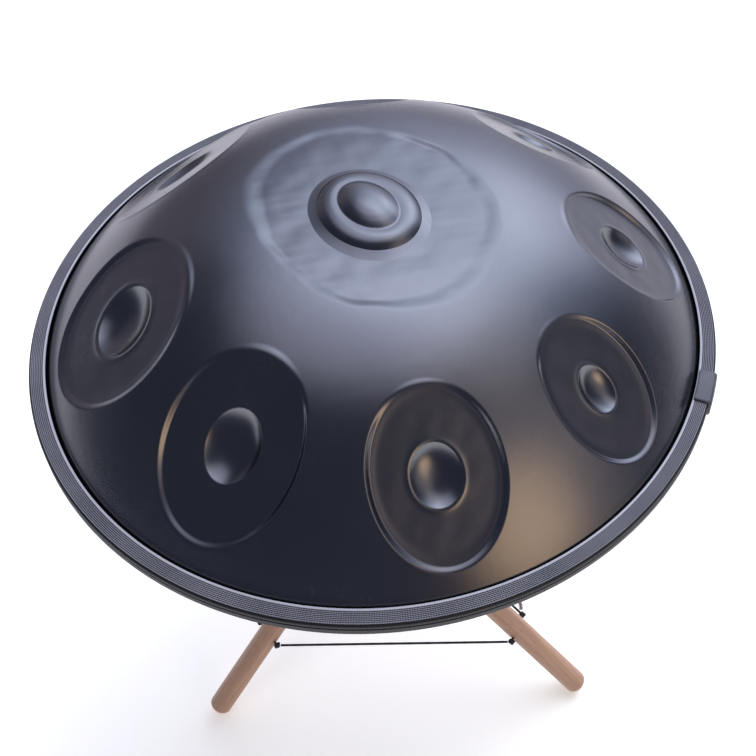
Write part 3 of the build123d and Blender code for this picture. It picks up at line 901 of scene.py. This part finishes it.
def trim_outline():
    """Round the trim's section: up the inner lip, out over the ribs, down and back under."""
    h = TRIM_HALF
    inner, outer = TRIM_INNER_R, TRIM_R
    points = [(inner + 0.0004, WALL + HALF_BOND + SLOT_AIR), (inner - 0.0006, h - 0.0022)]
    points += [(inner - 0.0010, h - 0.0009), (inner - 0.0008, h - 0.0003), (inner - 0.0003, h)]
    points += [(inner + 0.0008, h), (inner + 0.0012, h - 0.0004), (inner + 0.0013, h - RIB_DEPTH)]
    first, last = inner + 0.0015, outer - 0.0014
    pitch = (last - first) / TRIM_RIBS
    for rib in range(TRIM_RIBS):
        for share, drop in RIB_SHAPE:
            points.append((first + pitch * (rib + share), h - RIB_DEPTH * drop))
    points.append((last, h - RIB_DEPTH))
    points += arc((outer - 0.0020, h - 0.0026), 0.0020, 70, 0, 5)
    points += [(outer, h - 0.0038), (outer - 0.0006, h - 0.0044), (outer - 0.0006, h - 0.0050)]
    points += [(outer, h - 0.0056), (outer, 0.0)]
    lower = [(r, -z) for r, z in arc((outer - 0.0024, h - 0.0024), 0.0024, 0, 90, 6)]
    points += lower
    points += [(inner + 0.001, -h), (inner + 0.0002, -h + 0.0006), (inner, -h + 0.0016)]
    slot_half = WALL + HALF_BOND + SLOT_AIR
    points += [(inner + 0.0004, -slot_half)]
    return points + [(FLANGE_R + SLOT_AIR, -slot_half), (FLANGE_R + SLOT_AIR, slot_half)]


def make_trim():
    profile = [(r, z + RIM_Z) for r, z in trim_outline()]
    verts, faces = lathe_data(profile[::-1], 480, closed=True)
    trim = add_object("rim_trim_ribbed", verts, faces, TRIM, sharp_degrees=40)
    return finish_piece(trim, "pan", "trim_rubber", "rim_trim")


def make_clip():
    """Short smooth sleeve over the joint of the trim, open towards the shell."""
    wall, gap, corner = CLIP_WALL, CLIP_GAP, CLIP_CORNER
    azimuth, span = math.radians(CLIP_AZIMUTH), math.radians(CLIP_SPAN)
    low_r, high_r = TRIM_INNER_R, TRIM_R + gap
    half = TRIM_HALF + gap
    outer = [(low_r, half), (low_r - 0.0002, half + wall * 0.6), (low_r + 0.0004, half + wall - 0.0001)]
    outer += [(low_r + 0.0012, half + wall)]
    outer += arc((high_r + wall - corner, half + wall - corner), corner, 90, 0, 8)
    lower = [(r, -z) for r, z in outer[::-1]]
    inside = [(low_r, -half), (high_r - 0.0012, -half), (high_r, -half + 0.0012),
              (high_r, half - 0.0012), (high_r - 0.0012, half)]
    section = outer + lower + inside[1:]
    middle = (0.5 * (low_r + high_r), 0.0)
    verts, rows = [], []
    steps = 36
    for k in range(steps + 1):
        share = k / steps
        a = azimuth - span / 2 + span * share
        end = min(share, 1 - share) * span * TRIM_R
        tuck = CLIP_TUCK * (1 - math.sqrt(max(0.0, 1 - (1 - min(end / CLIP_END_ROUND, 1)) ** 2)))
        row = []
        for r, z in section:
            away = math.hypot(r - middle[0], z - middle[1])
            shrink = 1 - tuck / away
            rr = middle[0] + (r - middle[0]) * shrink if r > low_r else r
            zz = z * shrink
            row.append(len(verts))
            verts.append((rr * math.cos(a), rr * math.sin(a), zz + RIM_Z))
        rows.append(row)
    faces = bridge(rows) + [tuple(rows[0][::-1]), tuple(rows[-1])]
    sleeve = add_object("trim_joint_sleeve", verts, faces, CLIP, sharp_degrees=45)
    return finish_piece(sleeve, "pan", "clip_rubber", "trim_clip")


make_trim()
make_clip()
nodes["rim_bond"].data.materials.clear()
nodes["rim_bond"].data.materials.append(GLUE)


# ---------------------------------------------------------------- stand
LEG_R = 0.011
ROD_R = 0.003
TIP_R = 0.0135
TIP_LENGTH = 0.030
CORD_R = 0.0012
KNOT_R = 0.0036
LEG_GAP = 0.0003  # between the eye bolt and each front leg
CROSSED_LEG_GAP = 0.0016  # between the back leg and the front legs where they cross
TIP_GAP = 0.0003  # air between a rubber tip and the bottom shell
CORD_Z = 0.0772  # height of the spread cord's holes
KNOT_REACH = LEG_R + KNOT_R + 0.001  # leg's centre line to a knot's centre
CROSSING = Vector((-0.0144, 0.0027, 0.2267))  # middle of the pivot bolt, between the front legs
LEG_TILT = math.radians(43.6)  # from the vertical
BACK_LEG_AZIMUTH = math.radians(272.8)  # where the back leg's top points
UP = Vector((0, 0, 1))
TO_BACK_TOP = Vector((math.cos(BACK_LEG_AZIMUTH), math.sin(BACK_LEG_AZIMUTH), 0))
SHANK_AXIS = Vector((math.sin(BACK_LEG_AZIMUTH), -math.cos(BACK_LEG_AZIMUTH), 0))
S, C = math.sin(LEG_TILT), math.cos(LEG_TILT)
BOLT_AXIS = (TO_BACK_TOP * C + UP * (S / 2)).normalized()
SIDEWAYS = SHANK_AXIS * (S * math.sqrt(3) / 2)
RIGHT_DIR = TO_BACK_TOP * (-S / 2) + SIDEWAYS + UP * C
LEFT_DIR = TO_BACK_TOP * (-S / 2) - SIDEWAYS + UP * C
BACK_DIR = TO_BACK_TOP * S + UP * C
BOLT_OFFSET = LEG_R + ROD_R + LEG_GAP
CROSS_NORMAL = RIGHT_DIR.cross(BACK_DIR).normalized()
SHANK_OFFSET = (
    2 * LEG_R + CROSSED_LEG_GAP + abs(BOLT_AXIS.dot(CROSS_NORMAL)) * BOLT_OFFSET
) / abs(SHANK_AXIS.dot(CROSS_NORMAL))
# name: pivot on the leg's centre line, direction of its top, pivot axis
LEGS = {
    "right": (CROSSING + BOLT_AXIS * BOLT_OFFSET, RIGHT_DIR, BOLT_AXIS),
    "left": (CROSSING - BOLT_AXIS * BOLT_OFFSET, LEFT_DIR, BOLT_AXIS),
    "back": (CROSSING + SHANK_AXIS * SHANK_OFFSET, BACK_DIR, SHANK_AXIS),
}
FOOT_HEIGHT = 0.0040  # height of the middle of the leg's end above the floor
FOOT_EDGE = 0.0058  # rounding of the foot
FLOOR_TOUCH = 0.00005  # the worn foot's flat lies this far above the floor
SPIGOT_R = 0.0080  # turned end that the rubber tip sits on
SPIGOT_LENGTH = 0.0180
SPIGOT_CHAMFER = 0.0005
TIP_SOCKET_LENGTH = 0.0186
TIP_RINGS = (0.0034, 0.0074)  # where the two grip grooves start
TIP_MOUTH_ROUND = 0.0008
KNOT_STRAND_R = KNOT_R * 0.40
KNOT_LOOP, KNOT_RISE = 0.00072, 0.00105  # size of the knot's loops, and its height
KNOT_POINTS = 72
CORD_STRANDS = 6  # yarns that show round the cord
CORD_TWIST = 1500.0  # phase of their twist along the cord, in radians a metre
CORD_GROOVE = 0.00010  # depth between the yarns
CORD_END_AIR = 0.0003  # between a span's far end and its knot
FERRULE_GAP = 0.0008  # between the knot and the crimp


def point_at_height(leg, height):
    pivot, direction, _ = LEGS[leg]
    return pivot + direction * ((height - pivot.z) / direction.z)


def tip_centre(leg):
    """Where the tip's ball stops just short of the bottom shell."""
    pivot, direction, _ = LEGS[leg]
    ball = (GU_BASE_R**2 + GU_DEPTH**2) / (2 * GU_DEPTH)
    away = pivot - Vector((0, 0, RIM_Z - GU_DEPTH + ball))
    reach = ball + TIP_R + TIP_GAP
    half_b = away.dot(direction)
    return pivot - direction * (half_b + math.sqrt(half_b**2 - (away.dot(away) - reach**2)))


def cord_point(leg):
    return point_at_height(leg, CORD_Z)


def cord_hole_axis(leg):
    here = cord_point(leg)
    first, second = [(cord_point(other) - here).normalized() for other in LEGS if other != leg]
    return (first - second).normalized()


def make_leg(leg, seed):
    """Turned dowel with a worn rounded foot, lying along its own +Z."""
    _, direction, axis = LEGS[leg]
    foot, tip = point_at_height(leg, FOOT_HEIGHT), tip_centre(leg)
    rng = np.random.default_rng(seed)
    phase = rng.uniform(0, 2 * math.pi, 4)
    length = (tip - direction * (TIP_LENGTH - TIP_R) - foot).length
    edge = FOOT_EDGE
    profile = [(0.0, 0.0), (LEG_R - edge - 0.002, 0.0)]
    profile += arc((LEG_R - edge, edge), edge, -80, 0, 9)
    rows = 90
    profile += [(LEG_R, edge + (length - edge) * k / rows) for k in range(1, rows + 1)]
    end = length + SPIGOT_LENGTH
    profile += [(SPIGOT_R + 0.0002, length), (SPIGOT_R, end - SPIGOT_CHAMFER), (SPIGOT_R - 0.0008, end)]
    profile += [(0.0, end)]

    def wobble(i, a):
        z = profile[i][1]
        dent = 0.00007 * math.sin(3 * a + 40 * z + phase[0]) + 0.00005 * math.sin(5 * a - 90 * z + phase[1])
        wear_and_painted_shade = 0.00018 * math.sin(2 * a + phase[2]) if z < 0.012 else 0.0
        return -abs(dent) - abs(wear_and_painted_shade), 0.0

    verts, faces = lathe_data(profile, 56, wobble)
    dowel = add_object("dowel_" + leg, verts, faces, WOOD, sharp_degrees=50)
    place(dowel, foot, direction, axis)
    bpy.context.view_layer.update()
    # the worn foot stands flat on the floor
    back = dowel.matrix_world.inverted()
    for vertex in dowel.data.vertices:
        world = dowel.matrix_world @ vertex.co
        if world.z < FLOOR_TOUCH:
            world.z = FLOOR_TOUCH
            vertex.co = back @ world
    dowel.data.update()
    return finish_piece(dowel, "leg_" + leg, "beech_wood", "leg_" + leg)


def make_tip(leg):
    """Moulded rubber cap with a rolled mouth, two grip grooves and a round end."""
    _, direction, axis = LEGS[leg]
    straight = TIP_LENGTH - TIP_R
    mouth = TIP_MOUTH_ROUND
    profile = [(SPIGOT_R + 0.00015, 0.0004), (LEG_R + 0.0003, 0.0), (TIP_R - mouth, 0.0)]
    profile += arc((TIP_R - mouth, mouth), mouth, -60, 0, 4)
    for z in TIP_RINGS:
        groove = [(TIP_R - 0.0006, z + 0.0006), (TIP_R - 0.0006, z + 0.0016)]
        profile += [(TIP_R, z), *groove, (TIP_R, z + 0.0022)]
    profile += [(TIP_R, straight)]
    profile += [(r, z + straight) for r, z in arc((0, 0), TIP_R, 6, 84, 13)]
    profile += [(0.0, straight + TIP_R), (0.0, TIP_SOCKET_LENGTH), (SPIGOT_R, TIP_SOCKET_LENGTH)]
    verts, faces = lathe_data(profile, 48, closed=True)
    cap = add_object("rubber_tip_" + leg, verts, faces, TIP, sharp_degrees=38)
    place(cap, tip_centre(leg) - direction * straight, direction, axis)
    return finish_piece(cap, "leg_" + leg, "tip_rubber", "tip_cap_" + leg)


def tube_along(points, radius, sides=14):
    """Round tube through points, as vertices and faces, its ends closed by fans."""
    verts, rows = [], []
    points = [Vector(p) for p in points]
    side = None
    for i, p in enumerate(points):
        ahead = (points[min(i + 1, len(points) - 1)] - points[max(i - 1, 0)]).normalized()
        if side is None:
            side = ahead.orthogonal().normalized()
        side = (side - ahead * side.dot(ahead)).normalized()
        other = ahead.cross(side)
        size = radius(i / (len(points) - 1)) if callable(radius) else radius
        row = []
        for k in range(sides):
            a = 2 * math.pi * k / sides
            row.append(len(verts))
            verts.append(p + (side * math.cos(a) + other * math.sin(a)) * size)
        rows.append(row)
    faces = bridge(rows)
    for row, turn in ((rows[0], -1), (rows[-1], 1)):
        first = len(verts)
        verts.append(points[0] if turn < 0 else points[-1])
        for k in range(sides):
            pair = (row[k], row[(k + 1) % sides])
            faces.append((*pair[::turn], first))
    return verts, faces


def merge_meshes(parts):
    verts, faces = [], []
    for more_verts, more_faces in parts:
        shift = len(verts)
        verts += list(more_verts)
        faces += [tuple(v + shift for v in face) for face in more_faces]
    return verts, faces


def knot_shape(centre, axis):
    """A small overhand knot: a trefoil of cord whose two ends meet."""
    points = []
    for k in range(KNOT_POINTS + 1):
        t = 2 * math.pi * k / KNOT_POINTS
        x = math.sin(t) + 2 * math.sin(2 * t)
        y = math.cos(t) - 2 * math.cos(2 * t)
        z = -math.sin(3 * t)
        points.append(Vector((x * KNOT_LOOP, y * KNOT_LOOP, z * KNOT_RISE)))
    turned = axis.to_track_quat("Z", "Y")
    path = [centre + turned @ p for p in points]
    return tube_along(path, KNOT_STRAND_R, 12)


def make_knots(leg):
    """The stopper knots on both sides of a leg, and the cord through the leg between them."""
    hole, hole_axis = cord_point(leg), cord_hole_axis(leg)
    parts = []
    for side in (-1, 1):
        parts.append(knot_shape(hole + hole_axis * side * KNOT_REACH, hole_axis))
    line = [hole + hole_axis * (KNOT_REACH + KNOT_R * 0.5) * (k / 12 - 0.5) * 2 for k in range(13)]
    parts.append(tube_along(line, CORD_R * 0.95, 12))
    verts, faces = merge_meshes(parts)
    knots = add_object("stopper_knots_" + leg, verts, faces, CORD)
    return finish_piece(knots, "leg_" + leg, "cord_black", "cord_knots_" + leg)


def knot_centre(leg, other):
    """Centre of the knot on this leg that faces the other leg."""
    here, axis = cord_point(leg), cord_hole_axis(leg)
    side = 1 if axis.dot(cord_point(other) - here) > 0 else -1
    return here + axis * side * KNOT_REACH


def make_span(name, owner, far):
    """Taut braided cord between two knots, lying along its own +Z."""
    start, end = knot_centre(owner, far), knot_centre(far, owner)
    along = (end - start).normalized()
    length = (end - start).length - 2 * KNOT_R - CORD_END_AIR
    rows = 120
    profile = [(0.0, 0.0)] + [(CORD_R, length * k / rows) for k in range(rows + 1)] + [(0.0, length)]

    def wobble(i, a):
        z = profile[i][1]
        if profile[i][0] == 0.0:
            return 0.0, 0.0
        return -CORD_GROOVE * abs(math.sin(CORD_STRANDS / 2 * a + CORD_TWIST * z)), 0.0

    verts, faces = lathe_data(profile, 18, wobble)
    cord = add_object("tie_cord_" + name, verts, faces, CORD, sharp_degrees=60)
    origin = start + along * KNOT_R
    place(cord, origin, along, Vector((0, 0, 1)))
    finish_piece(cord, "leg_" + owner, "cord_black", "cord_" + name)
    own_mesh(cord)
    return cord


def make_ferrule():
    """Crimped metal sleeve on the cord's tail, past the right leg's knot on the back leg's side."""
    here = cord_point("right")
    out = (knot_centre("right", "back") - here).normalized()
    start = here + out * (LEG_R + 2 * KNOT_R + FERRULE_GAP)
    lift = (RIGHT_DIR - out * RIGHT_DIR.dot(out)).normalized()
    profile = [(0.0, 0.0), (0.0016, 0.0), (0.0021, 0.0004), (0.0022, 0.0016), (0.0019, 0.0024),
               (0.0019, 0.0033), (0.0022, 0.0041), (0.0022, 0.0049), (0.0019, 0.0057),
               (0.0019, 0.0066), (0.0022, 0.0074), (0.0021, 0.0086), (0.0016, 0.0090), (0.0, 0.0090)]
    verts, faces = lathe_data(profile, 24)
    crimp = add_object("crimp_ferrule", verts, faces, CRIMP, sharp_degrees=50)
    place(crimp, start + lift * KNOT_R, out + lift)
    return finish_piece(crimp, "leg_right", "ferrule_metal", "cord_ferrule")


# ---------------------------------------------------------------- pivot hardware
HEX_R = 0.0100 / math.sqrt(3)
HEAD = 0.0040
NUT = 0.0060
WASHER_R = 0.0090
WASHER = 0.0016
SEAT_GAP = 0.0003
THREAD_PITCH = 0.0010
THREAD_DEPTH = 0.0004
THREAD_OUT = 0.0030  # thread that stands out past a nut
BOLT_THREAD_START = -0.0195  # along the pivot bolt, from the crossing
ROD_END = (0.0022, 0.0026)  # radii of a rod's chamfered end
ROD_CHAMFER = 0.0005
NUT_AIR = 0.00005  # between a nut and its thread
HEX_CHAMFER = 0.0007
HEX_FACE = 0.97  # radius of a hexagon's round face over its flats
EYE_AIR = 0.00015  # bolt in the eye
EYE_WIRE_R = ROD_R * 0.995
EYE_NECK_END = 0.020  # where the eye bolt's thread starts, from the crossing
SLEEVE_R = 0.0050
SLEEVE_START = 0.0160
SLEEVE_CHAMFER = 0.0005


def thread_rows(start, end):
    """Profile of a shallow rolled thread between two heights."""
    turns = max(1, int(round((end - start) / THREAD_PITCH)))
    rows = []
    for k in range(turns):
        z = start + (end - start) * k / turns
        rows += [(ROD_R - THREAD_DEPTH, z + THREAD_PITCH * 0.05), (ROD_R, z + THREAD_PITCH * 0.45)]
        rows += [(ROD_R, z + THREAD_PITCH * 0.60)]
    return rows


def hexagon_solid(start, height, bore=0.0):
    """Six-sided head or nut along +Z with both faces chamfered to a round."""
    steps = 72
    end = start + height
    heights = [start, start, start + HEX_CHAMFER, end - HEX_CHAMFER, end, end]
    verts, rows = [], []
    flat = HEX_R * math.cos(math.pi / 6)
    for level, z in enumerate(heights):
        row = []
        for k in range(steps):
            a = 2 * math.pi * k / steps
            inside = (a % (math.pi / 3)) - math.pi / 6
            hexagon = flat / math.cos(inside)
            size = {0: bore, 1: flat * HEX_FACE, 4: flat * HEX_FACE, 5: bore}.get(level, hexagon)
            row.append(len(verts))
            verts.append((size * math.cos(a), size * math.sin(a), z))
        rows.append(row)
    if bore:
        return verts, bridge(rows + rows[:1])
    return verts, bridge(rows) + [tuple(rows[0][::-1]), tuple(rows[-1])]


def washer_solid(start):
    r, b = WASHER_R, ROD_R + 0.0002
    profile = [(b, start), (r - 0.0004, start), (r, start + 0.0004), (r, start + WASHER - 0.0004),
               (r - 0.0004, start + WASHER), (b + 0.0003, start + WASHER), (b, start + WASHER - 0.0003)]
    return lathe_data(profile, 56, closed=True)


def make_pivot():
    seat = BOLT_OFFSET + LEG_R + SEAT_GAP
    grip = seat + WASHER
    x_hint = Vector((1, 0, 0))
    tail = -(grip + NUT + THREAD_OUT)
    rod = [(0.0, tail), (ROD_END[0], tail), (ROD_END[1], tail + ROD_CHAMFER)]
    rod += thread_rows(tail + ROD_CHAMFER + 0.0001, BOLT_THREAD_START - 0.0005)
    rod += [(ROD_R, BOLT_THREAD_START), (ROD_R, grip + 0.0002), (0.0, grip + 0.0002)]
    bolt = merge_meshes([lathe_data(rod, 32), hexagon_solid(grip, HEAD)])
    pieces = [
        ("carriage_bolt", bolt, "pivot_bolt"),
        ("pivot_washer_pair", merge_meshes([washer_solid(seat), washer_solid(-seat - WASHER)]),
         "pivot_washers"),
        ("pivot_lock_nut", hexagon_solid(-grip - NUT, NUT, ROD_R + NUT_AIR), "pivot_nut"),
    ]
    for name, (verts, faces), node in pieces:
        piece = add_object(name, verts, faces, ZINC, sharp_degrees=30)
        place(piece, CROSSING, BOLT_AXIS, x_hint)
        finish_piece(piece, "hub", "zinc_steel", node)


def make_eye():
    ring_r = 2 * ROD_R + EYE_AIR
    # forged eye: a ring round the bolt with a neck that runs out into the threaded shank
    verts, faces = [], []
    steps, sides = 72, 20
    for k in range(steps):
        a = 2 * math.pi * k / steps
        for s in range(sides):
            b = 2 * math.pi * s / sides
            reach = ring_r + EYE_WIRE_R * math.cos(b)
            # local frame: z along the shank, y along the bolt
            verts.append((reach * math.sin(a), EYE_WIRE_R * math.sin(b), reach * math.cos(a)))
    for k in range(steps):
        for s in range(sides):
            k2, s2 = (k + 1) % steps, (s + 1) % sides
            faces.append((k * sides + s, k * sides + s2, k2 * sides + s2, k2 * sides + s))
    seat = SHANK_OFFSET + LEG_R + SEAT_GAP
    end = seat + WASHER + NUT + THREAD_OUT
    rod = [(0.0, ring_r + 0.0005), (ROD_R, ring_r + 0.0006), (ROD_R, EYE_NECK_END)]
    rod += thread_rows(EYE_NECK_END + 0.0005, end - ROD_CHAMFER - 0.0003)
    rod += [(ROD_END[1], end - ROD_CHAMFER), (ROD_END[0], end), (0.0, end)]
    eye = merge_meshes([(verts, faces), lathe_data(rod, 32)])
    sleeve_end = SHANK_OFFSET - LEG_R - SEAT_GAP
    bore, r, c = ROD_R + 0.0001, SLEEVE_R, SLEEVE_CHAMFER
    sleeve = lathe_data([
        (bore, SLEEVE_START), (r - c, SLEEVE_START), (r, SLEEVE_START + c),
        (r, sleeve_end - c), (r - c, sleeve_end), (bore, sleeve_end),
    ], 48, closed=True)
    pieces = [
        ("forged_eye_bolt", eye, "eye_bolt", ZINC, "zinc_steel"),
        ("spacer_sleeve", sleeve, "eye_sleeve", NYLON, "sleeve_nylon"),
        ("eye_flat_washer", washer_solid(seat), "eye_washer", ZINC, "zinc_steel"),
        ("eye_lock_nut", hexagon_solid(seat + WASHER, NUT, ROD_R + NUT_AIR), "eye_nut", ZINC,
         "zinc_steel"),
    ]
    for name, (mesh_verts, mesh_faces), node, material, slot_name in pieces:
        piece = add_object(name, mesh_verts, mesh_faces, material, sharp_degrees=30)
        place(piece, CROSSING, SHANK_AXIS, SHANK_AXIS.cross(BOLT_AXIS) * -1)
        finish_piece(piece, "hub", slot_name, node)


for number, leg_name in enumerate(LEGS):
    make_leg(leg_name, 40 + number)
    make_tip(leg_name)
    make_knots(leg_name)
make_span("front", "left", "right")
make_span("right", "right", "back")
make_span("left", "back", "left")
make_ferrule()
make_pivot()
make_eye()


# ---------------------------------------------------------------- floor, light and surroundings
FLOOR_HALF = 6.0
FLOOR_DROP = 0.0004  # the floor lies this far under the feet
# What the steel reflects: azimuth and elevation in degrees, full angle,
# fade-out angle, colour. Azimuth 90 is behind the pan, -90 is the player's side.
SKY_BASE = (0.07, 0.08, 0.13)
SKY_SOURCES = {
    "pale_wall_behind": (65, 45, 10, 55, (0.50, 0.57, 0.80)),
    "window_behind": (65, 50, 4, 32, (0.95, 1.05, 1.25)),
    "window_sill_behind": (50, 30, 2, 24, (0.70, 0.75, 0.90)),
    "bright_ground_behind": (65, 0, 10, 50, (0.60, 0.60, 0.72)),
    "wall_behind_left": (125, 10, 5, 35, (0.20, 0.17, 0.18)),
    "ceiling": (105, 75, 5, 35, (0.80, 0.80, 1.00)),
    "ceiling_right": (0, 65, 2, 25, (0.55, 0.50, 0.50)),
    "dim_wall_right": (-35, 30, 5, 35, (0.40, 0.35, 0.35)),
    "beige_wall_front_right": (-50, 20, 2, 20, (1.60, 1.05, 0.55)),
}


def make_floor():
    s = Shader("floor_paper")
    s.set(Roughness=0.9, Base_Color=(0.93, 0.93, 0.92, 1.0))
    s.set(Emission_Color=(1.0, 0.985, 0.90, 1.0), Emission_Strength=0.36)
    size, z = FLOOR_HALF, -FLOOR_DROP
    verts = [(-size, -size, z), (size, -size, z), (size, size, z), (-size, size, z)]
    floor = add_object("floor", verts, [(0, 1, 2, 3)], s.material)


def sky_direction(azimuth, elevation):
    a, e = math.radians(azimuth), math.radians(elevation)
    return Vector((math.cos(a) * math.cos(e), math.sin(a) * math.cos(e), math.sin(e)))


def make_world():
    """White backdrop; reflections see a soft sky with a pale window behind and a dim front."""
    world = bpy.data.worlds.new("studio")
    scene.world = world
    world.use_nodes = True
    tree = world.node_tree
    tree.nodes.clear()
    out = new_node(tree, "ShaderNodeOutputWorld")
    looking = new_node(tree, "ShaderNodeTexCoord").outputs["Generated"]
    color = SKY_BASE
    for azimuth, elevation, inner, outer, tint in SKY_SOURCES.values():
        towards = sky_direction(azimuth, elevation)
        dot = new_node(tree, "ShaderNodeVectorMath", {0: looking, 1: towards}, operation="DOT_PRODUCT")
        spread = new_node(tree, "ShaderNodeMapRange", {
            "From Min": math.cos(math.radians(outer)), "From Max": math.cos(math.radians(inner)),
            "Value": dot.outputs["Value"],
        }, interpolation_type="SMOOTHSTEP")
        color = mix_colors(tree, spread.outputs["Result"], color, tint, "ADD")
    seen = new_node(tree, "ShaderNodeBackground", {"Color": (1.0, 1.0, 1.0, 1.0)})
    sky = new_node(tree, "ShaderNodeBackground", {"Color": color})
    path = new_node(tree, "ShaderNodeLightPath")
    mix = new_node(tree, "ShaderNodeMixShader", {
        "Fac": path.outputs["Is Camera Ray"], 1: sky.outputs["Background"], 2: seen.outputs["Background"],
    })
    tree.links.new(mix.outputs["Shader"], out.inputs["Surface"])


def area_light(name, position, target, size, power, color=(1.0, 1.0, 1.0)):
    data = bpy.data.lights.new(name, "AREA")
    data.shape = "RECTANGLE"
    data.size, data.size_y = size
    data.energy = power
    data.color = color
    light = bpy.data.objects.new(name, data)
    scene.collection.objects.link(light)
    light.location = position
    light.rotation_euler = (Vector(target) - Vector(position)).to_track_quat("-Z", "Y").to_euler()
    light.visible_glossy = False
    return light


make_floor()
make_world()
area_light("key_soft", (0.9, 0.9, 2.2), (0, 0, 0.3), (1.6, 1.6), 30.0, (1.0, 0.99, 0.97))
area_light("fill_left", (-1.6, -1.2, 1.8), (0, 0, 0.2), (1.2, 1.2), 10.0, (1.0, 0.98, 0.97))

scene.view_settings.view_transform = "Standard"
scene.view_settings.look = "None"
